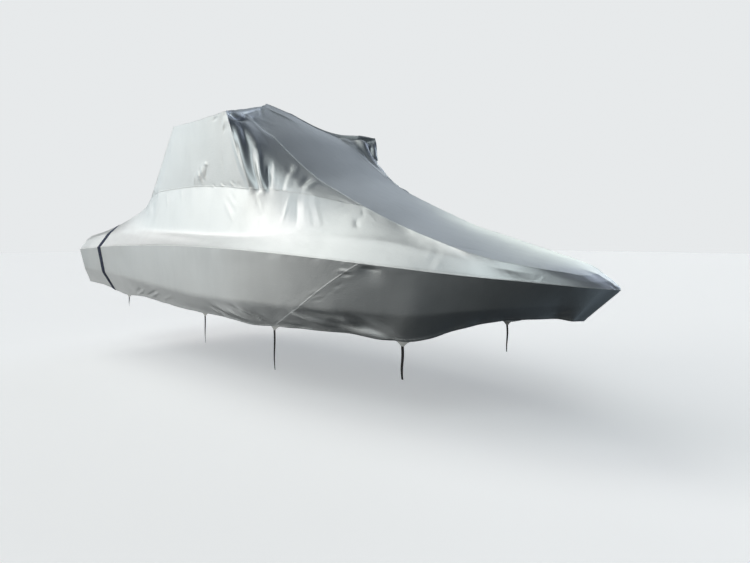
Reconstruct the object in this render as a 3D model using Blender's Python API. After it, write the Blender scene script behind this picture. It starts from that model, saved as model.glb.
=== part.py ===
"""Fitted cloth cover for a tower boat that stands on its trailer.

The boat and the trailer are left out, so the cover is the shell that they fill. It is cut and
sewn from a bow panel, a top panel, an aft panel, a transom panel and, on each side, a tower
panel, a deck panel, an aft skirt and a forward skirt. Webbing tabs and straps hold its hem down,
and a belt goes round its stern.

Axes: +X to the bow, +Y to port, +Z up. The origin is the point under the top that rests on the
boat's tower. In the tables below, places are measured along the boat from its forward axle, out
from the centreline and up from the ground.
"""

import math
from collections import namedtuple

import bmesh
import bpy
import numpy as np

# Driving dimensions, in metres.
CLOTH = 0.002
WEBBING = 0.002
STRAP_WIDTH = 0.025
BELT_WIDTH = 0.100
SEAM_GAP = 0.0004
LAP_GAP = 0.0005
SAME_POINT = 0.00001
NO_LENGTH = 1e-9
REST_FORWARD = 0.09
REST_HEIGHT = 3.205

# Stations along the gunwale, where panels, seams and the belt begin and end.
STERN = -2.75
BELT_STATION = -1.97
TOWER_AFT = -0.80
EAR = 1.05
SEAM_TOP = 1.20
SEAM_JOIN = 2.55
SLANT_TOP = 2.72
SLANT_FOOT = 1.585
SLANT_AT_KNUCKLE = 0.59
BOW_FLAT = 4.30
BOW = 4.38

# The stretch of the skirts whose cells lean with the slanting seam.
SLANT_FREE_AFT = -0.50
SLANT_FREE_FORWARD = 4.10

# How far up its panel the knuckle or the band lies, and how softly the cloth turns there.
KNUCKLE_AT = 0.30
KNUCKLE_SOFTNESS = 0.06
BAND_AT = 0.32
BAND_SOFTNESS = 0.10

# A fold's height at its ends, as a share of the height midway.
FOLD_END = 0.3

# The least share of a right-angled mitre's reach that a corner keeps.
LEAST_MITRE = 0.55
SHARP = math.radians(35)

# A line inside the boat that the cloth faces away from: its ends and its height.
CORE_AFT = -2.20
CORE_FORWARD = 3.90
CORE_HEIGHT = 1.25

# An odd share of a cell, so that no point of the cover lies on the border between two cells.
OFF_BORDER = 0.3137

UP = np.array([0, 0, 1])
MIRRORED = np.array([1, -1, 1])

# One row per station: how far along the gunwale it is, and the point where a line of the cover
# crosses it. A line is read between its rows as a smooth curve.
Row = namedtuple("Row", "station forward out height")

GUNWALE = [
    Row(-2.75, -2.75, 1.22, 1.430),
    Row(-2.30, -2.30, 1.25, 1.448),
    Row(-1.20, -1.20, 1.25, 1.493),
    Row(0.00, 0.00, 1.25, 1.505),
    Row(1.00, 1.00, 1.25, 1.491),
    Row(1.80, 1.80, 1.18, 1.458),
    Row(2.40, 2.40, 1.08, 1.417),
    Row(3.00, 3.00, 0.92, 1.365),
    Row(3.40, 3.40, 0.77, 1.326),
    Row(3.80, 3.80, 0.57, 1.290),
    Row(4.10, 4.10, 0.37, 1.259),
    Row(4.30, 4.30, 0.17, 1.232),
    Row(4.38, 4.38, 0.00, 1.217),
]

BAND = [
    Row(-2.75, -2.75, 1.14, 1.540),
    Row(-2.30, -2.30, 1.12, 1.620),
    Row(-1.80, -1.80, 1.11, 1.655),
    Row(-1.20, -1.20, 1.11, 1.665),
    Row(0.00, 0.00, 1.11, 1.640),
    Row(1.20, 1.20, 1.09, 1.608),
    Row(1.80, 1.80, 1.02, 1.606),
    Row(2.40, 2.38, 0.90, 1.590),
    Row(3.00, 2.97, 0.77, 1.525),
    Row(3.40, 3.35, 0.69, 1.455),
    Row(3.80, 3.74, 0.58, 1.372),
    Row(4.10, 4.04, 0.39, 1.320),
    Row(4.30, 4.24, 0.18, 1.280),
    Row(4.38, 4.30, 0.00, 1.275),
]

WAIST = [
    Row(-2.75, -2.75, 1.06, 1.615),
    Row(-2.30, -2.30, 1.00, 1.690),
    Row(-1.80, -1.80, 0.99, 1.785),
    Row(-1.40, -1.40, 1.00, 1.865),
    Row(-1.15, -1.17, 1.00, 1.930),
    Row(-0.95, -1.02, 1.00, 2.000),
    Row(-0.80, -0.92, 1.00, 2.075),
    Row(-0.55, -0.66, 1.02, 2.130),
    Row(0.00, -0.02, 1.03, 2.140),
    Row(0.60, 0.66, 1.02, 2.115),
    Row(1.05, 1.17, 1.00, 2.060),
    Row(1.40, 1.48, 0.92, 2.040),
    Row(1.80, 1.80, 0.80, 1.990),
    Row(2.20, 2.08, 0.68, 1.925),
    Row(2.55, 2.34, 0.585, 1.870),
]

ROOF_EDGE = [
    Row(-0.80, -0.26, 1.02, 2.842),
    Row(0.10, 0.30, 1.05, 2.828),
    Row(0.70, 0.68, 1.06, 2.832),
    Row(1.05, 0.90, 1.06, 2.840),
]

CENTRE_SEAM = [
    Row(1.05, 0.90, 1.06, 2.840),
    Row(1.10, 0.82, 0.87, 2.868),
    Row(1.15, 0.73, 0.72, 2.876),
    Row(1.20, 0.71, 0.64, 2.850),
    Row(1.30, 0.80, 0.585, 2.765),
    Row(1.52, 1.00, 0.58, 2.640),
    Row(1.74, 1.29, 0.58, 2.430),
    Row(2.08, 1.74, 0.575, 2.140),
    Row(2.30, 2.02, 0.575, 2.010),
    Row(2.55, 2.34, 0.585, 1.870),
    Row(3.00, 2.77, 0.590, 1.700),
    Row(3.30, 3.10, 0.625, 1.600),
    Row(3.60, 3.43, 0.635, 1.500),
    Row(3.80, 3.66, 0.590, 1.440),
    Row(3.95, 3.84, 0.510, 1.400),
    Row(4.10, 3.98, 0.410, 1.370),
    Row(4.20, 4.07, 0.310, 1.350),
    Row(4.30, 4.17, 0.190, 1.322),
]

# The centreline of the top and of the bow panel. The last column is how round the cloth lies
# from the seam up to it: 1 is a straight pull, 2 an even crown.
Ridge = namedtuple("Ridge", "station forward height round")

RIDGE = [
    Ridge(-0.80, -0.30, 2.930, 1.6),
    Ridge(0.10, -0.14, 3.040, 1.3),
    Ridge(0.70, 0.02, 3.160, 1.0),
    Ridge(1.05, 0.09, 3.210, 0.85),
    Ridge(1.12, 0.16, 3.175, 0.95),
    Ridge(1.20, 0.34, 3.075, 1.1),
    Ridge(1.30, 0.56, 2.950, 1.3),
    Ridge(1.52, 0.94, 2.715, 1.7),
    Ridge(1.74, 1.27, 2.485, 1.8),
    Ridge(2.08, 1.73, 2.190, 1.8),
    Ridge(2.55, 2.34, 1.920, 1.8),
    Ridge(3.00, 2.78, 1.748, 1.8),
    Ridge(3.60, 3.45, 1.545, 1.8),
    Ridge(4.10, 4.00, 1.390, 1.8),
    Ridge(4.30, 4.20, 1.328, 1.0),
]

# The knuckle and the hem of the skirts: how far in from the gunwale, and how high.
Edge = namedtuple("Edge", "station aft inset height")

KNUCKLE = [
    Edge(-2.75, -0.02, 0.05, 1.160),
    Edge(-1.80, 0.00, 0.05, 1.125),
    Edge(-0.60, 0.00, 0.04, 1.055),
    Edge(0.60, 0.00, 0.04, 0.995),
    Edge(1.80, 0.00, 0.04, 0.980),
    Edge(3.00, 0.00, 0.06, 0.985),
    Edge(3.60, 0.03, 0.09, 1.050),
    Edge(4.10, 0.09, 0.10, 1.095),
    Edge(4.38, 0.13, 0.00, 1.095),
]

HEM = [
    Edge(-2.75, -0.03, 0.12, 0.965),
    Edge(-2.30, 0.00, 0.17, 0.940),
    Edge(-1.53, 0.00, 0.20, 0.848),
    Edge(-1.20, 0.00, 0.22, 0.852),
    Edge(-0.60, 0.00, 0.22, 0.815),
    Edge(0.00, 0.00, 0.22, 0.785),
    Edge(0.36, 0.00, 0.22, 0.780),
    Edge(0.75, 0.00, 0.22, 0.776),
    Edge(1.30, 0.00, 0.21, 0.752),
    Edge(1.585, 0.00, 0.20, 0.765),
    Edge(1.85, 0.00, 0.20, 0.772),
    Edge(2.40, 0.00, 0.20, 0.785),
    Edge(2.85, 0.00, 0.16, 0.772),
    Edge(2.98, 0.00, 0.14, 0.765),
    Edge(3.17, 0.01, 0.17, 0.800),
    Edge(3.45, 0.03, 0.20, 0.905),
    Edge(3.80, 0.06, 0.22, 0.975),
    Edge(4.10, 0.15, 0.20, 0.985),
    Edge(4.38, 0.27, 0.00, 0.965),
]

# The centreline of the aft deck's cloth, up to the foot of the tower.
AFT_RIDGE = [
    Ridge(-2.75, -2.79, 1.660, 2.0),
    Ridge(-1.80, -1.80, 1.830, 2.0),
    Ridge(-1.15, -1.19, 1.990, 2.0),
    Ridge(-0.80, -0.95, 2.130, 2.0),
]

# The main folds: each is a soft ridge, or a trough where its rise is negative, between two points
# of the cloth, given on the port side. It lies on the sides named.
Fold = namedtuple("Fold", "sides forward out height to_forward to_out to_height width rise")

BOTH = (-1, 1)
PORT = (1,)

FOLDS = [
    Fold(BOTH, 0.94, 1.05, 2.74, 1.20, 1.00, 2.06, 0.050, 0.020),
    Fold(BOTH, 0.95, 0.97, 2.70, 1.24, 0.99, 2.06, 0.050, -0.045),
    Fold(BOTH, 1.00, 0.85, 2.62, 1.34, 0.96, 2.08, 0.060, 0.025),
    Fold(BOTH, 1.26, 0.82, 2.38, 1.42, 0.94, 2.05, 0.040, -0.028),
    Fold(BOTH, 1.30, 0.78, 2.36, 1.48, 0.92, 2.06, 0.035, 0.012),
    Fold(BOTH, 1.42, 0.68, 2.30, 1.56, 0.88, 2.05, 0.035, -0.020),
    Fold(BOTH, 1.45, 0.62, 2.31, 1.60, 0.86, 2.06, 0.030, 0.015),
    Fold(BOTH, 1.63, 0.61, 2.19, 1.71, 0.79, 2.06, 0.030, -0.018),
    Fold(BOTH, 1.72, 0.60, 2.15, 1.77, 0.77, 2.04, 0.030, 0.012),
    Fold(BOTH, 0.90, 0.98, 2.80, 0.78, 0.76, 2.83, 0.060, -0.050),
    Fold(BOTH, 1.72, 0.86, 1.96, 1.86, 0.95, 1.71, 0.060, -0.010),
    Fold(BOTH, 2.01, 1.04, 0.90, 2.85, 0.80, 0.80, 0.060, 0.014),
    Fold(BOTH, 2.50, 0.98, 1.00, 2.90, 0.82, 0.80, 0.060, -0.014),
    Fold(BOTH, 1.40, 1.15, 0.93, 1.57, 1.03, 0.78, 0.060, -0.014),
    Fold(BOTH, 0.75, 1.14, 0.91, 1.40, 1.05, 0.79, 0.060, 0.014),
    Fold(BOTH, 3.17, 0.84, 1.20, 3.06, 0.76, 0.81, 0.120, 0.022),
    Fold(PORT, 1.00, 1.04, 2.55, 1.14, 1.00, 2.22, 0.150, -0.120),
]

# Where the cloth hangs lower than on the other side, given as a fold is.
SAGS = [
    Fold(PORT, 0.22, 0.28, 3.08, 0.78, 0.90, 2.89, 0.180, -0.120),
]

# Where the ties pull: station of the tab on the gunwale, how far it drops, the strap's low end.
Tie = namedtuple("Tie", "station drop end_height")

TIES = [
    Tie(-1.530, 0.030, 0.700),
    Tie(0.825, 0.030, 0.450),
    Tie(SLANT_TOP, 0.036, 0.350),
    Tie(3.485, 0.036, 0.460),
]

# Where the cloth is divided along its length: the cells between two stations.
Span = namedtuple("Span", "start end cells")

SPANS = [
    Span(STERN, -2.02, 3),
    Span(-2.02, -1.92, 1),
    Span(-1.92, -1.586, 2),
    Span(-1.586, -1.474, 2),
    Span(-1.474, TOWER_AFT, 5),
    Span(TOWER_AFT, 0.741, 8),
    Span(0.741, 0.909, 2),
    Span(0.909, EAR, 2),
    Span(EAR, 1.700, 13),
    Span(1.700, SEAM_JOIN, 9),
    Span(SEAM_JOIN, SLANT_TOP, 2),
    Span(SLANT_TOP, 2.753, 1),
    Span(2.753, 3.452, 5),
    Span(3.452, 3.518, 2),
    Span(3.518, BOW_FLAT, 6),
    Span(BOW_FLAT, BOW, 4),
]

# How far up or across a panel its rows of points lie.
SKIRT_ROWS = [0.0, 0.10, 0.20, 0.30, 0.42, 0.60, 0.80, 1.0]
DECK_ROWS = [0.0, 0.16, 0.32, 0.48, 0.64, 0.82, 1.0]
TOWER_ROWS = [0.0, 0.08, 0.16, 0.25, 0.34, 0.44, 0.54, 0.65, 0.76, 0.88, 0.95, 1.0]
ACROSS = [-1.0, -0.90, -0.75, -0.50, -0.25, 0.0, 0.25, 0.50, 0.75, 0.90, 1.0]
STRAP_ROWS = 5


def smooth(at, values, where):
    """Reads one column of a table as a smooth curve that never overshoots its rows."""
    at = np.asarray(at, float)
    values = np.asarray(values, float)
    slope = np.diff(values) / np.diff(at)
    tangent = np.concatenate([slope[:1], np.zeros(len(at) - 2), slope[-1:]])
    same_way = slope[:-1] * slope[1:] > 0
    mean = 2 * slope[:-1] * slope[1:] / np.where(same_way, slope[:-1] + slope[1:], 1)
    tangent[1:-1] = np.where(same_way, mean, 0)
    cell = np.clip(np.searchsorted(at, where, side="right") - 1, 0, len(at) - 2)
    width = at[cell + 1] - at[cell]
    t = (where - at[cell]) / width
    rise = 3 * t**2 - 2 * t**3
    return (
        values[cell] * (1 - rise)
        + values[cell + 1] * rise
        + width * tangent[cell] * (t - 2 * t**2 + t**3)
        + width * tangent[cell + 1] * (t**3 - t**2)
    )


def column(table, name, where):
    """One column of a table at the stations."""
    return smooth([row.station for row in table], [getattr(row, name) for row in table], where)


def line(table, where):
    """The points of a line of the cover at the stations, on the port side."""
    where = np.asarray(where, float)
    return np.stack([column(table, name, where) for name in ("forward", "out", "height")], -1)


def mix(a, b, share):
    """From a at share 0 to b at share 1."""
    share = np.asarray(share, float)[..., None]
    return a * (1 - share) + b * share


def tent(at, peak, softness):
    """Rises from 0 at either end to 1 at the peak, with its top rounded off."""
    up = at / peak
    down = (1 - at) / (1 - peak)
    return -softness * np.log(np.exp(-up / softness) + np.exp(-down / softness))


def stations(start, end):
    """The stations of the cloth's cells from one place to another, both included."""
    found = [SPANS[0].start]
    for span in SPANS:
        found.extend(np.linspace(span.start, span.end, span.cells + 1)[1:])
    found = np.array(found)
    return found[(found > start - SAME_POINT) & (found < end + SAME_POINT)]


def strip(edge, ridge_forward, ridge_height, round_, across):
    """Cloth laid across the boat from an edge up to the centreline and down to the other edge."""
    share = 1 - np.abs(across) ** round_
    return np.stack(
        [
            edge[..., 0] + (ridge_forward - edge[..., 0]) * share,
            edge[..., 1] * across,
            edge[..., 2] + (ridge_height - edge[..., 2]) * share,
        ],
        -1,
    )


def ridged(table, edge, where, across):
    """A strip whose centreline is read from a table at the stations."""
    where = np.asarray(where, float)
    return strip(
        edge,
        column(table, "forward", where),
        column(table, "height", where),
        column(table, "round", where),
        across,
    )


def deck_top(where):
    """The deck panel's upper edge: the waist seam, the centre seam, then the bow panel's end."""
    where = np.asarray(where, float)
    waist = line(WAIST, np.minimum(where, SEAM_JOIN))
    seam = line(CENTRE_SEAM, np.clip(where, SEAM_JOIN, BOW_FLAT))
    out = 1 - (np.clip(where, BOW_FLAT, BOW) - BOW_FLAT) / (BOW - BOW_FLAT)
    seam = ridged(RIDGE, seam, np.clip(where, SEAM_JOIN, BOW_FLAT), out)
    return np.where((where < SEAM_JOIN)[..., None], waist, seam)


def deck_surface(where, up):
    """From the gunwale up to the waist or the centre seam, with its soft turn at the band."""
    low = line(GUNWALE, where)
    high = deck_top(where)
    band = line(BAND, where) - mix(low, high, BAND_AT)
    return mix(low, high, up) + band * tent(up, BAND_AT, BAND_SOFTNESS)[..., None]


def skirt_line(table, where):
    """The knuckle or the hem: set in from the gunwale."""
    top = line(GUNWALE, where)
    out = np.maximum(top[..., 1] - column(table, "inset", where), 0)
    forward = top[..., 0] - column(table, "aft", where)
    return np.stack([forward, out, column(table, "height", where)], -1)


def skirt_surface(where, up):
    """From the hem up to the gunwale, with its turn at the knuckle."""
    low = skirt_line(HEM, where)
    high = line(GUNWALE, where)
    knuckle = skirt_line(KNUCKLE, where) - mix(low, high, KNUCKLE_AT)
    return mix(low, high, up) + knuckle * tent(up, KNUCKLE_AT, KNUCKLE_SOFTNESS)[..., None]


def slanted(where, up):
    """A station of the skirt: its cells lean with the slanting seam, less further from it."""
    aft = np.clip((where - SLANT_FREE_AFT) / (SLANT_TOP - SLANT_FREE_AFT), 0, 1)
    forward = np.clip((SLANT_FREE_FORWARD - where) / (SLANT_FREE_FORWARD - SLANT_TOP), 0, 1)
    lean = np.interp(up, (0, KNUCKLE_AT, 1), (1, SLANT_AT_KNUCKLE, 0))
    return where - (SLANT_TOP - SLANT_FOOT) * lean * np.minimum(aft, forward)


def tower_surface(where, up):
    """Flat up to the roof's edge; forward of the ear it spans from the ear's fold to the seam."""
    low = line(WAIST, where)
    side = mix(low, line(ROOF_EDGE, np.minimum(where, EAR)), up)
    ahead = np.clip((where - EAR) / (SEAM_JOIN - EAR), 0, 1)
    high = line(CENTRE_SEAM, EAR + (SEAM_TOP - EAR) * ahead)
    ear_fold = mix(line(WAIST, [EAR]), line(ROOF_EDGE, [EAR]), up)
    seam = line(CENTRE_SEAM, seam_station(up))
    ends = mix(line(WAIST, [EAR]), line(WAIST, [SEAM_JOIN]), ahead)
    tops = mix(line(CENTRE_SEAM, [EAR]), line(CENTRE_SEAM, [SEAM_TOP]), ahead)
    front = mix(low, high, up) + mix(ear_fold, seam, ahead) - mix(ends, tops, up)
    return np.where((where < EAR)[..., None], side, front)


def seam_station(up):
    """The station of the centre seam that far up the tower panel's front edge."""
    return SEAM_JOIN - (SEAM_JOIN - SEAM_TOP) * np.asarray(up, float)


def side_panel(surface, start, end, rows):
    """A panel's grid of points, row by row, from its lower edge up."""
    where, up = np.meshgrid(stations(start, end), rows)
    return surface(where, up)


def skirt_panel(start, end):
    """A skirt's grid of points, whose cells lean with the slanting seam."""
    where, up = np.meshgrid(stations(start, end), SKIRT_ROWS)
    return skirt_surface(slanted(where, up), up)


def ridged_panel(table, edge_table, where):
    """A panel that lies right across the boat, between the same seam on either side."""
    across, where = np.meshgrid(ACROSS, where)
    return ridged(table, line(edge_table, where), where, across)


def bow_panel_stations():
    """Along the bow panel's edge: from the ear to the seam's top, down the seam, to the bow."""
    ahead = (stations(EAR, SEAM_JOIN) - EAR) / (SEAM_JOIN - EAR)
    top = EAR + (SEAM_TOP - EAR) * ahead
    down = seam_station(np.array(TOWER_ROWS[::-1]))
    return np.concatenate([top, down[1:-1], stations(SEAM_JOIN, BOW_FLAT)])


def aft_panel():
    """From the transom over the aft deck, then up the aft face of the tower."""
    across, where = np.meshgrid(ACROSS, stations(STERN, TOWER_AFT))
    deck = ridged(AFT_RIDGE, line(WAIST, where), where, across)
    across, up = np.meshgrid(ACROSS, TOWER_ROWS[1:])
    edge = tower_surface(np.full_like(up, TOWER_AFT), up)
    foot, top = AFT_RIDGE[-1], RIDGE[0]
    forward = foot.forward + (top.forward - foot.forward) * up
    height = foot.height + (top.height - foot.height) * up
    face = strip(edge, forward, height, foot.round + (top.round - foot.round) * up, across)
    return np.concatenate([deck, face])


def transom_panel():
    """Hangs from the aft edges of the deck and aft panels, as far down as the skirts."""
    side = deck_surface(np.full(len(DECK_ROWS), STERN), np.array(DECK_ROWS))
    mirrored = side * MIRRORED
    middle = aft_panel()[0]
    top = np.concatenate([mirrored, middle[1:-1], side[::-1]])
    rows = np.array(SKIRT_ROWS)
    edge = skirt_surface(np.full(len(rows), STERN), rows)
    foot, corner = edge[0], edge[-1]
    share = top[:, 1] / corner[1]
    bottom = np.stack([np.full(len(top), foot[0]), foot[1] * share, np.full(len(top), foot[2])], -1)
    grid = mix(bottom[None], top[None], rows[:, None])
    lean = edge - mix(foot, corner, rows)
    grid[..., 0] += lean[:, None, 0]
    grid[..., 1] += lean[:, None, 1] * share
    grid[..., 2] += lean[:, None, 2] * np.abs(share)
    return grid


def unit(vectors):
    """The vectors at length 1; one with no length stays as it is."""
    length = np.linalg.norm(vectors, axis=-1, keepdims=True)
    return np.where(length > NO_LENGTH, vectors / np.maximum(length, NO_LENGTH), 0)


def outward(grid):
    """The area-weighted direction of a panel's faces at each of its points, facing outwards."""
    turn = np.cross(grid[1:, 1:] - grid[:-1, :-1], grid[1:, :-1] - grid[:-1, 1:])
    found = np.zeros_like(grid)
    found[:-1, :-1] += turn
    found[1:, :-1] += turn
    found[:-1, 1:] += turn
    found[1:, 1:] += turn
    core = np.zeros_like(grid)
    core[..., 0] = np.clip(grid[..., 0], CORE_AFT, CORE_FORWARD)
    core[..., 2] = CORE_HEIGHT
    return found if (found * (grid - core)).sum() > 0 else -found


def shared_directions(panels):
    """The way through the cloth at each point of each panel, alike where panels meet.

    It is longer than 1 along an edge where two panels meet at an angle, as on a mitre.
    """
    points = np.concatenate([grid.reshape(-1, 3) for grid in panels.values()])
    cells = np.floor(points / SAME_POINT + OFF_BORDER).astype(np.int64)
    _, place = np.unique(cells, axis=0, return_inverse=True)
    place = place.reshape(-1)
    total = np.zeros((place.max() + 1, 3))
    own, start = {}, 0
    for name, grid in panels.items():
        here = place[start : start + grid.shape[0] * grid.shape[1]]
        start += len(here)
        sums = np.zeros_like(total)
        np.add.at(sums, here, outward(grid).reshape(-1, 3))
        sums = unit(sums)
        total += sums
        own[name] = (here, sums)
    total = unit(total)
    least = np.ones(len(total))
    for here, sums in own.values():
        least[here] = np.minimum(least[here], (total[here] * sums[here]).sum(-1))
    total /= np.clip(least, LEAST_MITRE, 1)[:, None]
    return {name: total[here].reshape(panels[name].shape) for name, (here, _) in own.items()}


def lift_at(points, folds):
    """How far the folds lift the cloth at each point."""
    lift = np.zeros(points.shape[:-1])
    for fold in folds:
        for side in fold.sides:
            start = np.array([fold.forward, fold.out * side, fold.height])
            run = np.array([fold.to_forward, fold.to_out * side, fold.to_height]) - start
            t = np.clip(((points - start) @ run) / (run @ run), 0, 1)
            away = np.linalg.norm(points - start - t[..., None] * run, axis=-1)
            ends = FOLD_END + (1 - FOLD_END) * np.sin(math.pi * t)
            lift += fold.rise * np.exp(-((away / fold.width) ** 2)) * ends
    return lift[..., None]


def folded(panels):
    """The panels with their folds and sags."""
    sagging = {name: grid + UP * lift_at(grid, SAGS) for name, grid in panels.items()}
    way = shared_directions(sagging)
    return {
        name: grid + unit(way[name]) * lift_at(panels[name], FOLDS)
        for name, grid in sagging.items()
    }


def away_from(edge, beside):
    """The way into a panel from its edge, square to the edge."""
    if np.ptp(edge, axis=0).max() < SAME_POINT:
        return np.broadcast_to(unit((beside - edge).mean(axis=0)), edge.shape)
    along = unit(np.gradient(edge, axis=0))
    inward = beside - edge
    return unit(inward - (inward * along).sum(-1, keepdims=True) * along)


def drawn_in(grid):
    """The small step that takes a panel's outline back from its seams."""
    step = np.zeros_like(grid)
    step[0] += away_from(grid[0], grid[1])
    step[-1] += away_from(grid[-1], grid[-2])
    for edge, beside in ((0, 1), (-1, -2)):
        if np.ptp(grid[:, edge], axis=0).max() < SAME_POINT:
            step[:, edge] = 0
        step[:, edge] += away_from(grid[:, edge], grid[:, beside])
    return step * SEAM_GAP / 2


def make_material(name, colour, roughness):
    """A plain material with the colour and roughness given."""
    material = bpy.data.materials.new(name)
    material.use_nodes = True
    shader = material.node_tree.nodes["Principled BSDF"]
    shader.inputs["Base Color"].default_value = (*colour, 1)
    shader.inputs["Roughness"].default_value = roughness
    shader.inputs["Metallic"].default_value = 0.0
    return material


def sheet(name, outer, inner, material):
    """A closed sheet between two grids of points: a grid of cells, extruded whole."""
    rest = np.array([REST_FORWARD, 0, REST_HEIGHT])
    rows, columns = outer.shape[:2]
    outer = (outer - rest).reshape(-1, 3)
    inner = (inner - rest).reshape(-1, 3)
    mesh = bpy.data.meshes.new(name)
    bm = bmesh.new()
    bmesh.ops.create_grid(bm, x_segments=columns - 1, y_segments=rows - 1, size=1)
    place = bm.verts.layers.int.new("place")
    bm.verts.ensure_lookup_table()
    for index, vertex in enumerate(bm.verts):
        vertex[place] = index
        vertex.co = outer[index]
    bmesh.ops.remove_doubles(bm, verts=bm.verts, dist=SAME_POINT)
    grown = bmesh.ops.extrude_face_region(bm, geom=bm.faces[:], use_keep_orig=True)
    for vertex in grown["geom"]:
        if isinstance(vertex, bmesh.types.BMVert):
            vertex.co = inner[vertex[place]]
    bmesh.ops.triangulate(bm, faces=bm.faces, quad_method="SHORT_EDGE")
    bmesh.ops.recalc_face_normals(bm, faces=bm.faces)
    bm.to_mesh(mesh)
    bm.free()
    mesh.shade_smooth()
    mesh.set_sharp_from_angle(angle=SHARP)
    mesh.materials.append(material)
    item = bpy.data.objects.new(name, mesh)
    bpy.context.collection.objects.link(item)


def cloth_panels():
    """Every panel of cloth, on both sides, before its folds."""
    panels = {
        "bow_panel": ridged_panel(RIDGE, CENTRE_SEAM, bow_panel_stations()),
        "top_panel": ridged_panel(RIDGE, ROOF_EDGE, stations(TOWER_AFT, EAR)),
        "aft_panel": aft_panel(),
        "transom_panel": transom_panel(),
    }
    one_side = {
        "tower_panel": side_panel(tower_surface, TOWER_AFT, SEAM_JOIN, TOWER_ROWS),
        "deck_panel": side_panel(deck_surface, STERN, BOW, DECK_ROWS),
        "aft_skirt": skirt_panel(STERN, SLANT_TOP),
        "forward_skirt": skirt_panel(SLANT_TOP, BOW),
    }
    for name, grid in one_side.items():
        panels[name + "_port"] = grid
        panels[name + "_starboard"] = grid * MIRRORED
    return panels


def tie_panels(panels):
    """The tabs that hang from the hem and the straps below them."""
    found = {}
    for number, tie in enumerate(TIES, start=1):
        at = int(np.argmin(np.abs(stations(STERN, BOW) - tie.station)))
        for side in ("starboard", "port"):
            aft = panels["aft_skirt_" + side][0]
            forward = panels["forward_skirt_" + side][0]
            top = np.concatenate([aft, forward[1:]])[at - 1 : at + 2]
            foot = top[1] - UP * tie.drop
            along = unit(top[2] - top[0]) * [1, 1, 0]
            end = foot + np.array([-1, 0, 1])[:, None] * along * STRAP_WIDTH / 2
            strap = np.repeat(end[None], STRAP_ROWS, axis=0)
            strap[..., 2] = np.linspace(foot[2], tie.end_height, STRAP_ROWS)[:, None]
            found[f"tab_{number}_{side}"] = np.stack([top, end])
            found[f"tie_strap_{number}_{side}"] = strap
    return found


def belt_line(grids, first):
    """The two station lines under the belt, from hem to hem round the stern."""
    pair = slice(first, first + 2)
    sides = {}
    for side in ("starboard", "port"):
        skirt = grids["aft_skirt_" + side][:, pair]
        deck = grids["deck_panel_" + side][1:, pair]
        sides[side] = np.concatenate([skirt, deck])
    over = np.swapaxes(grids["aft_panel"][pair], 0, 1)[1:-1]
    return np.concatenate([sides["starboard"], over, sides["port"][::-1]])


def main():
    """Makes every piece of the cover."""
    for item in list(bpy.data.objects):
        bpy.data.objects.remove(item)
    silver = make_material("silver_cloth", (0.58, 0.62, 0.63), 0.50)
    finishes = {
        "tab": make_material("tab_cloth", (0.66, 0.68, 0.66), 0.60),
        "tie": make_material("black_webbing", (0.012, 0.012, 0.014), 0.70),
    }
    blue = make_material("blue_webbing", (0.060, 0.080, 0.180), 0.65)

    panels = folded(cloth_panels())
    panels.update(tie_panels(panels))
    way = shared_directions(panels)
    for name, grid in panels.items():
        outer = grid + drawn_in(grid)
        sheet(name, outer, outer - way[name] * CLOTH, finishes.get(name.split("_")[0], silver))

    aft_line = BELT_STATION - BELT_WIDTH / 2
    first = int(np.argmin(np.abs(stations(STERN, BOW) - aft_line)))
    under = belt_line(panels, first)
    off = belt_line(way, first)
    sheet("stern_belt", under + off * (LAP_GAP + WEBBING), under + off * LAP_GAP, blue)


main()
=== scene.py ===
"""Looks of a fitted cloth cover for a tower boat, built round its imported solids.

Each panel of cloth is laid again on the lines of its solid, in much finer cells, and gets its
creases, lapped seams, puckers, hem and finish. Tabs, straps and the stern belt follow. Places in
the tables are measured along the boat from its forward axle, out from the centreline and up
from the ground; Form.REST takes them into the part's own frame.
"""

import logging
import math
from dataclasses import dataclass, field
from enum import Enum
from typing import NamedTuple

import bmesh
import bpy
import numpy as np
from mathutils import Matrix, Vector
from numpy.typing import ArrayLike, NDArray

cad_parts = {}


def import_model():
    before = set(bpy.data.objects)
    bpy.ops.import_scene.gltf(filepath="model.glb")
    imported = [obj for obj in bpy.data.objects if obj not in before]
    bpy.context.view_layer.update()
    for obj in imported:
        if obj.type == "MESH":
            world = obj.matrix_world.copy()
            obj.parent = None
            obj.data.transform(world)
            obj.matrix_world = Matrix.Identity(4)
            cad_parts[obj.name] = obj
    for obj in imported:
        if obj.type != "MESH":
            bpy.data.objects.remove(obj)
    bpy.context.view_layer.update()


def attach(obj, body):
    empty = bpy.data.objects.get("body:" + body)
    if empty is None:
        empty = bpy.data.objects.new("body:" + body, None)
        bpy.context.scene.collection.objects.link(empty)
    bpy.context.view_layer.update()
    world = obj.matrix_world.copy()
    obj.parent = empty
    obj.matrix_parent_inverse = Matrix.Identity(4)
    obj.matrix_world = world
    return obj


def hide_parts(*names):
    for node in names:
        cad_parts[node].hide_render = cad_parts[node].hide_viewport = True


Grid = NDArray[np.float64]
log = logging.getLogger("boat_cover")

# Sizes in metres.
CLOTH = 0.002
WEBBING = 0.002
STRAP_WIDTH = 0.025
BELT_WIDTH = 0.100
LAP_GAP = 0.0005
SAME_POINT = 0.00001
NO_LENGTH = 1e-9
LEAST_MITRE = 0.55
SHARP = math.radians(52)
UP = np.array([0.0, 0.0, 1.0])
MIRRORED = np.array([1.0, -1.0, 1.0])
REST = np.array([0.09, 0.0, 3.205])
FLOOR = -3.205
LAMP_AWAY = 12.0
LAMP_BREADTH = math.radians(30)

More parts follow.
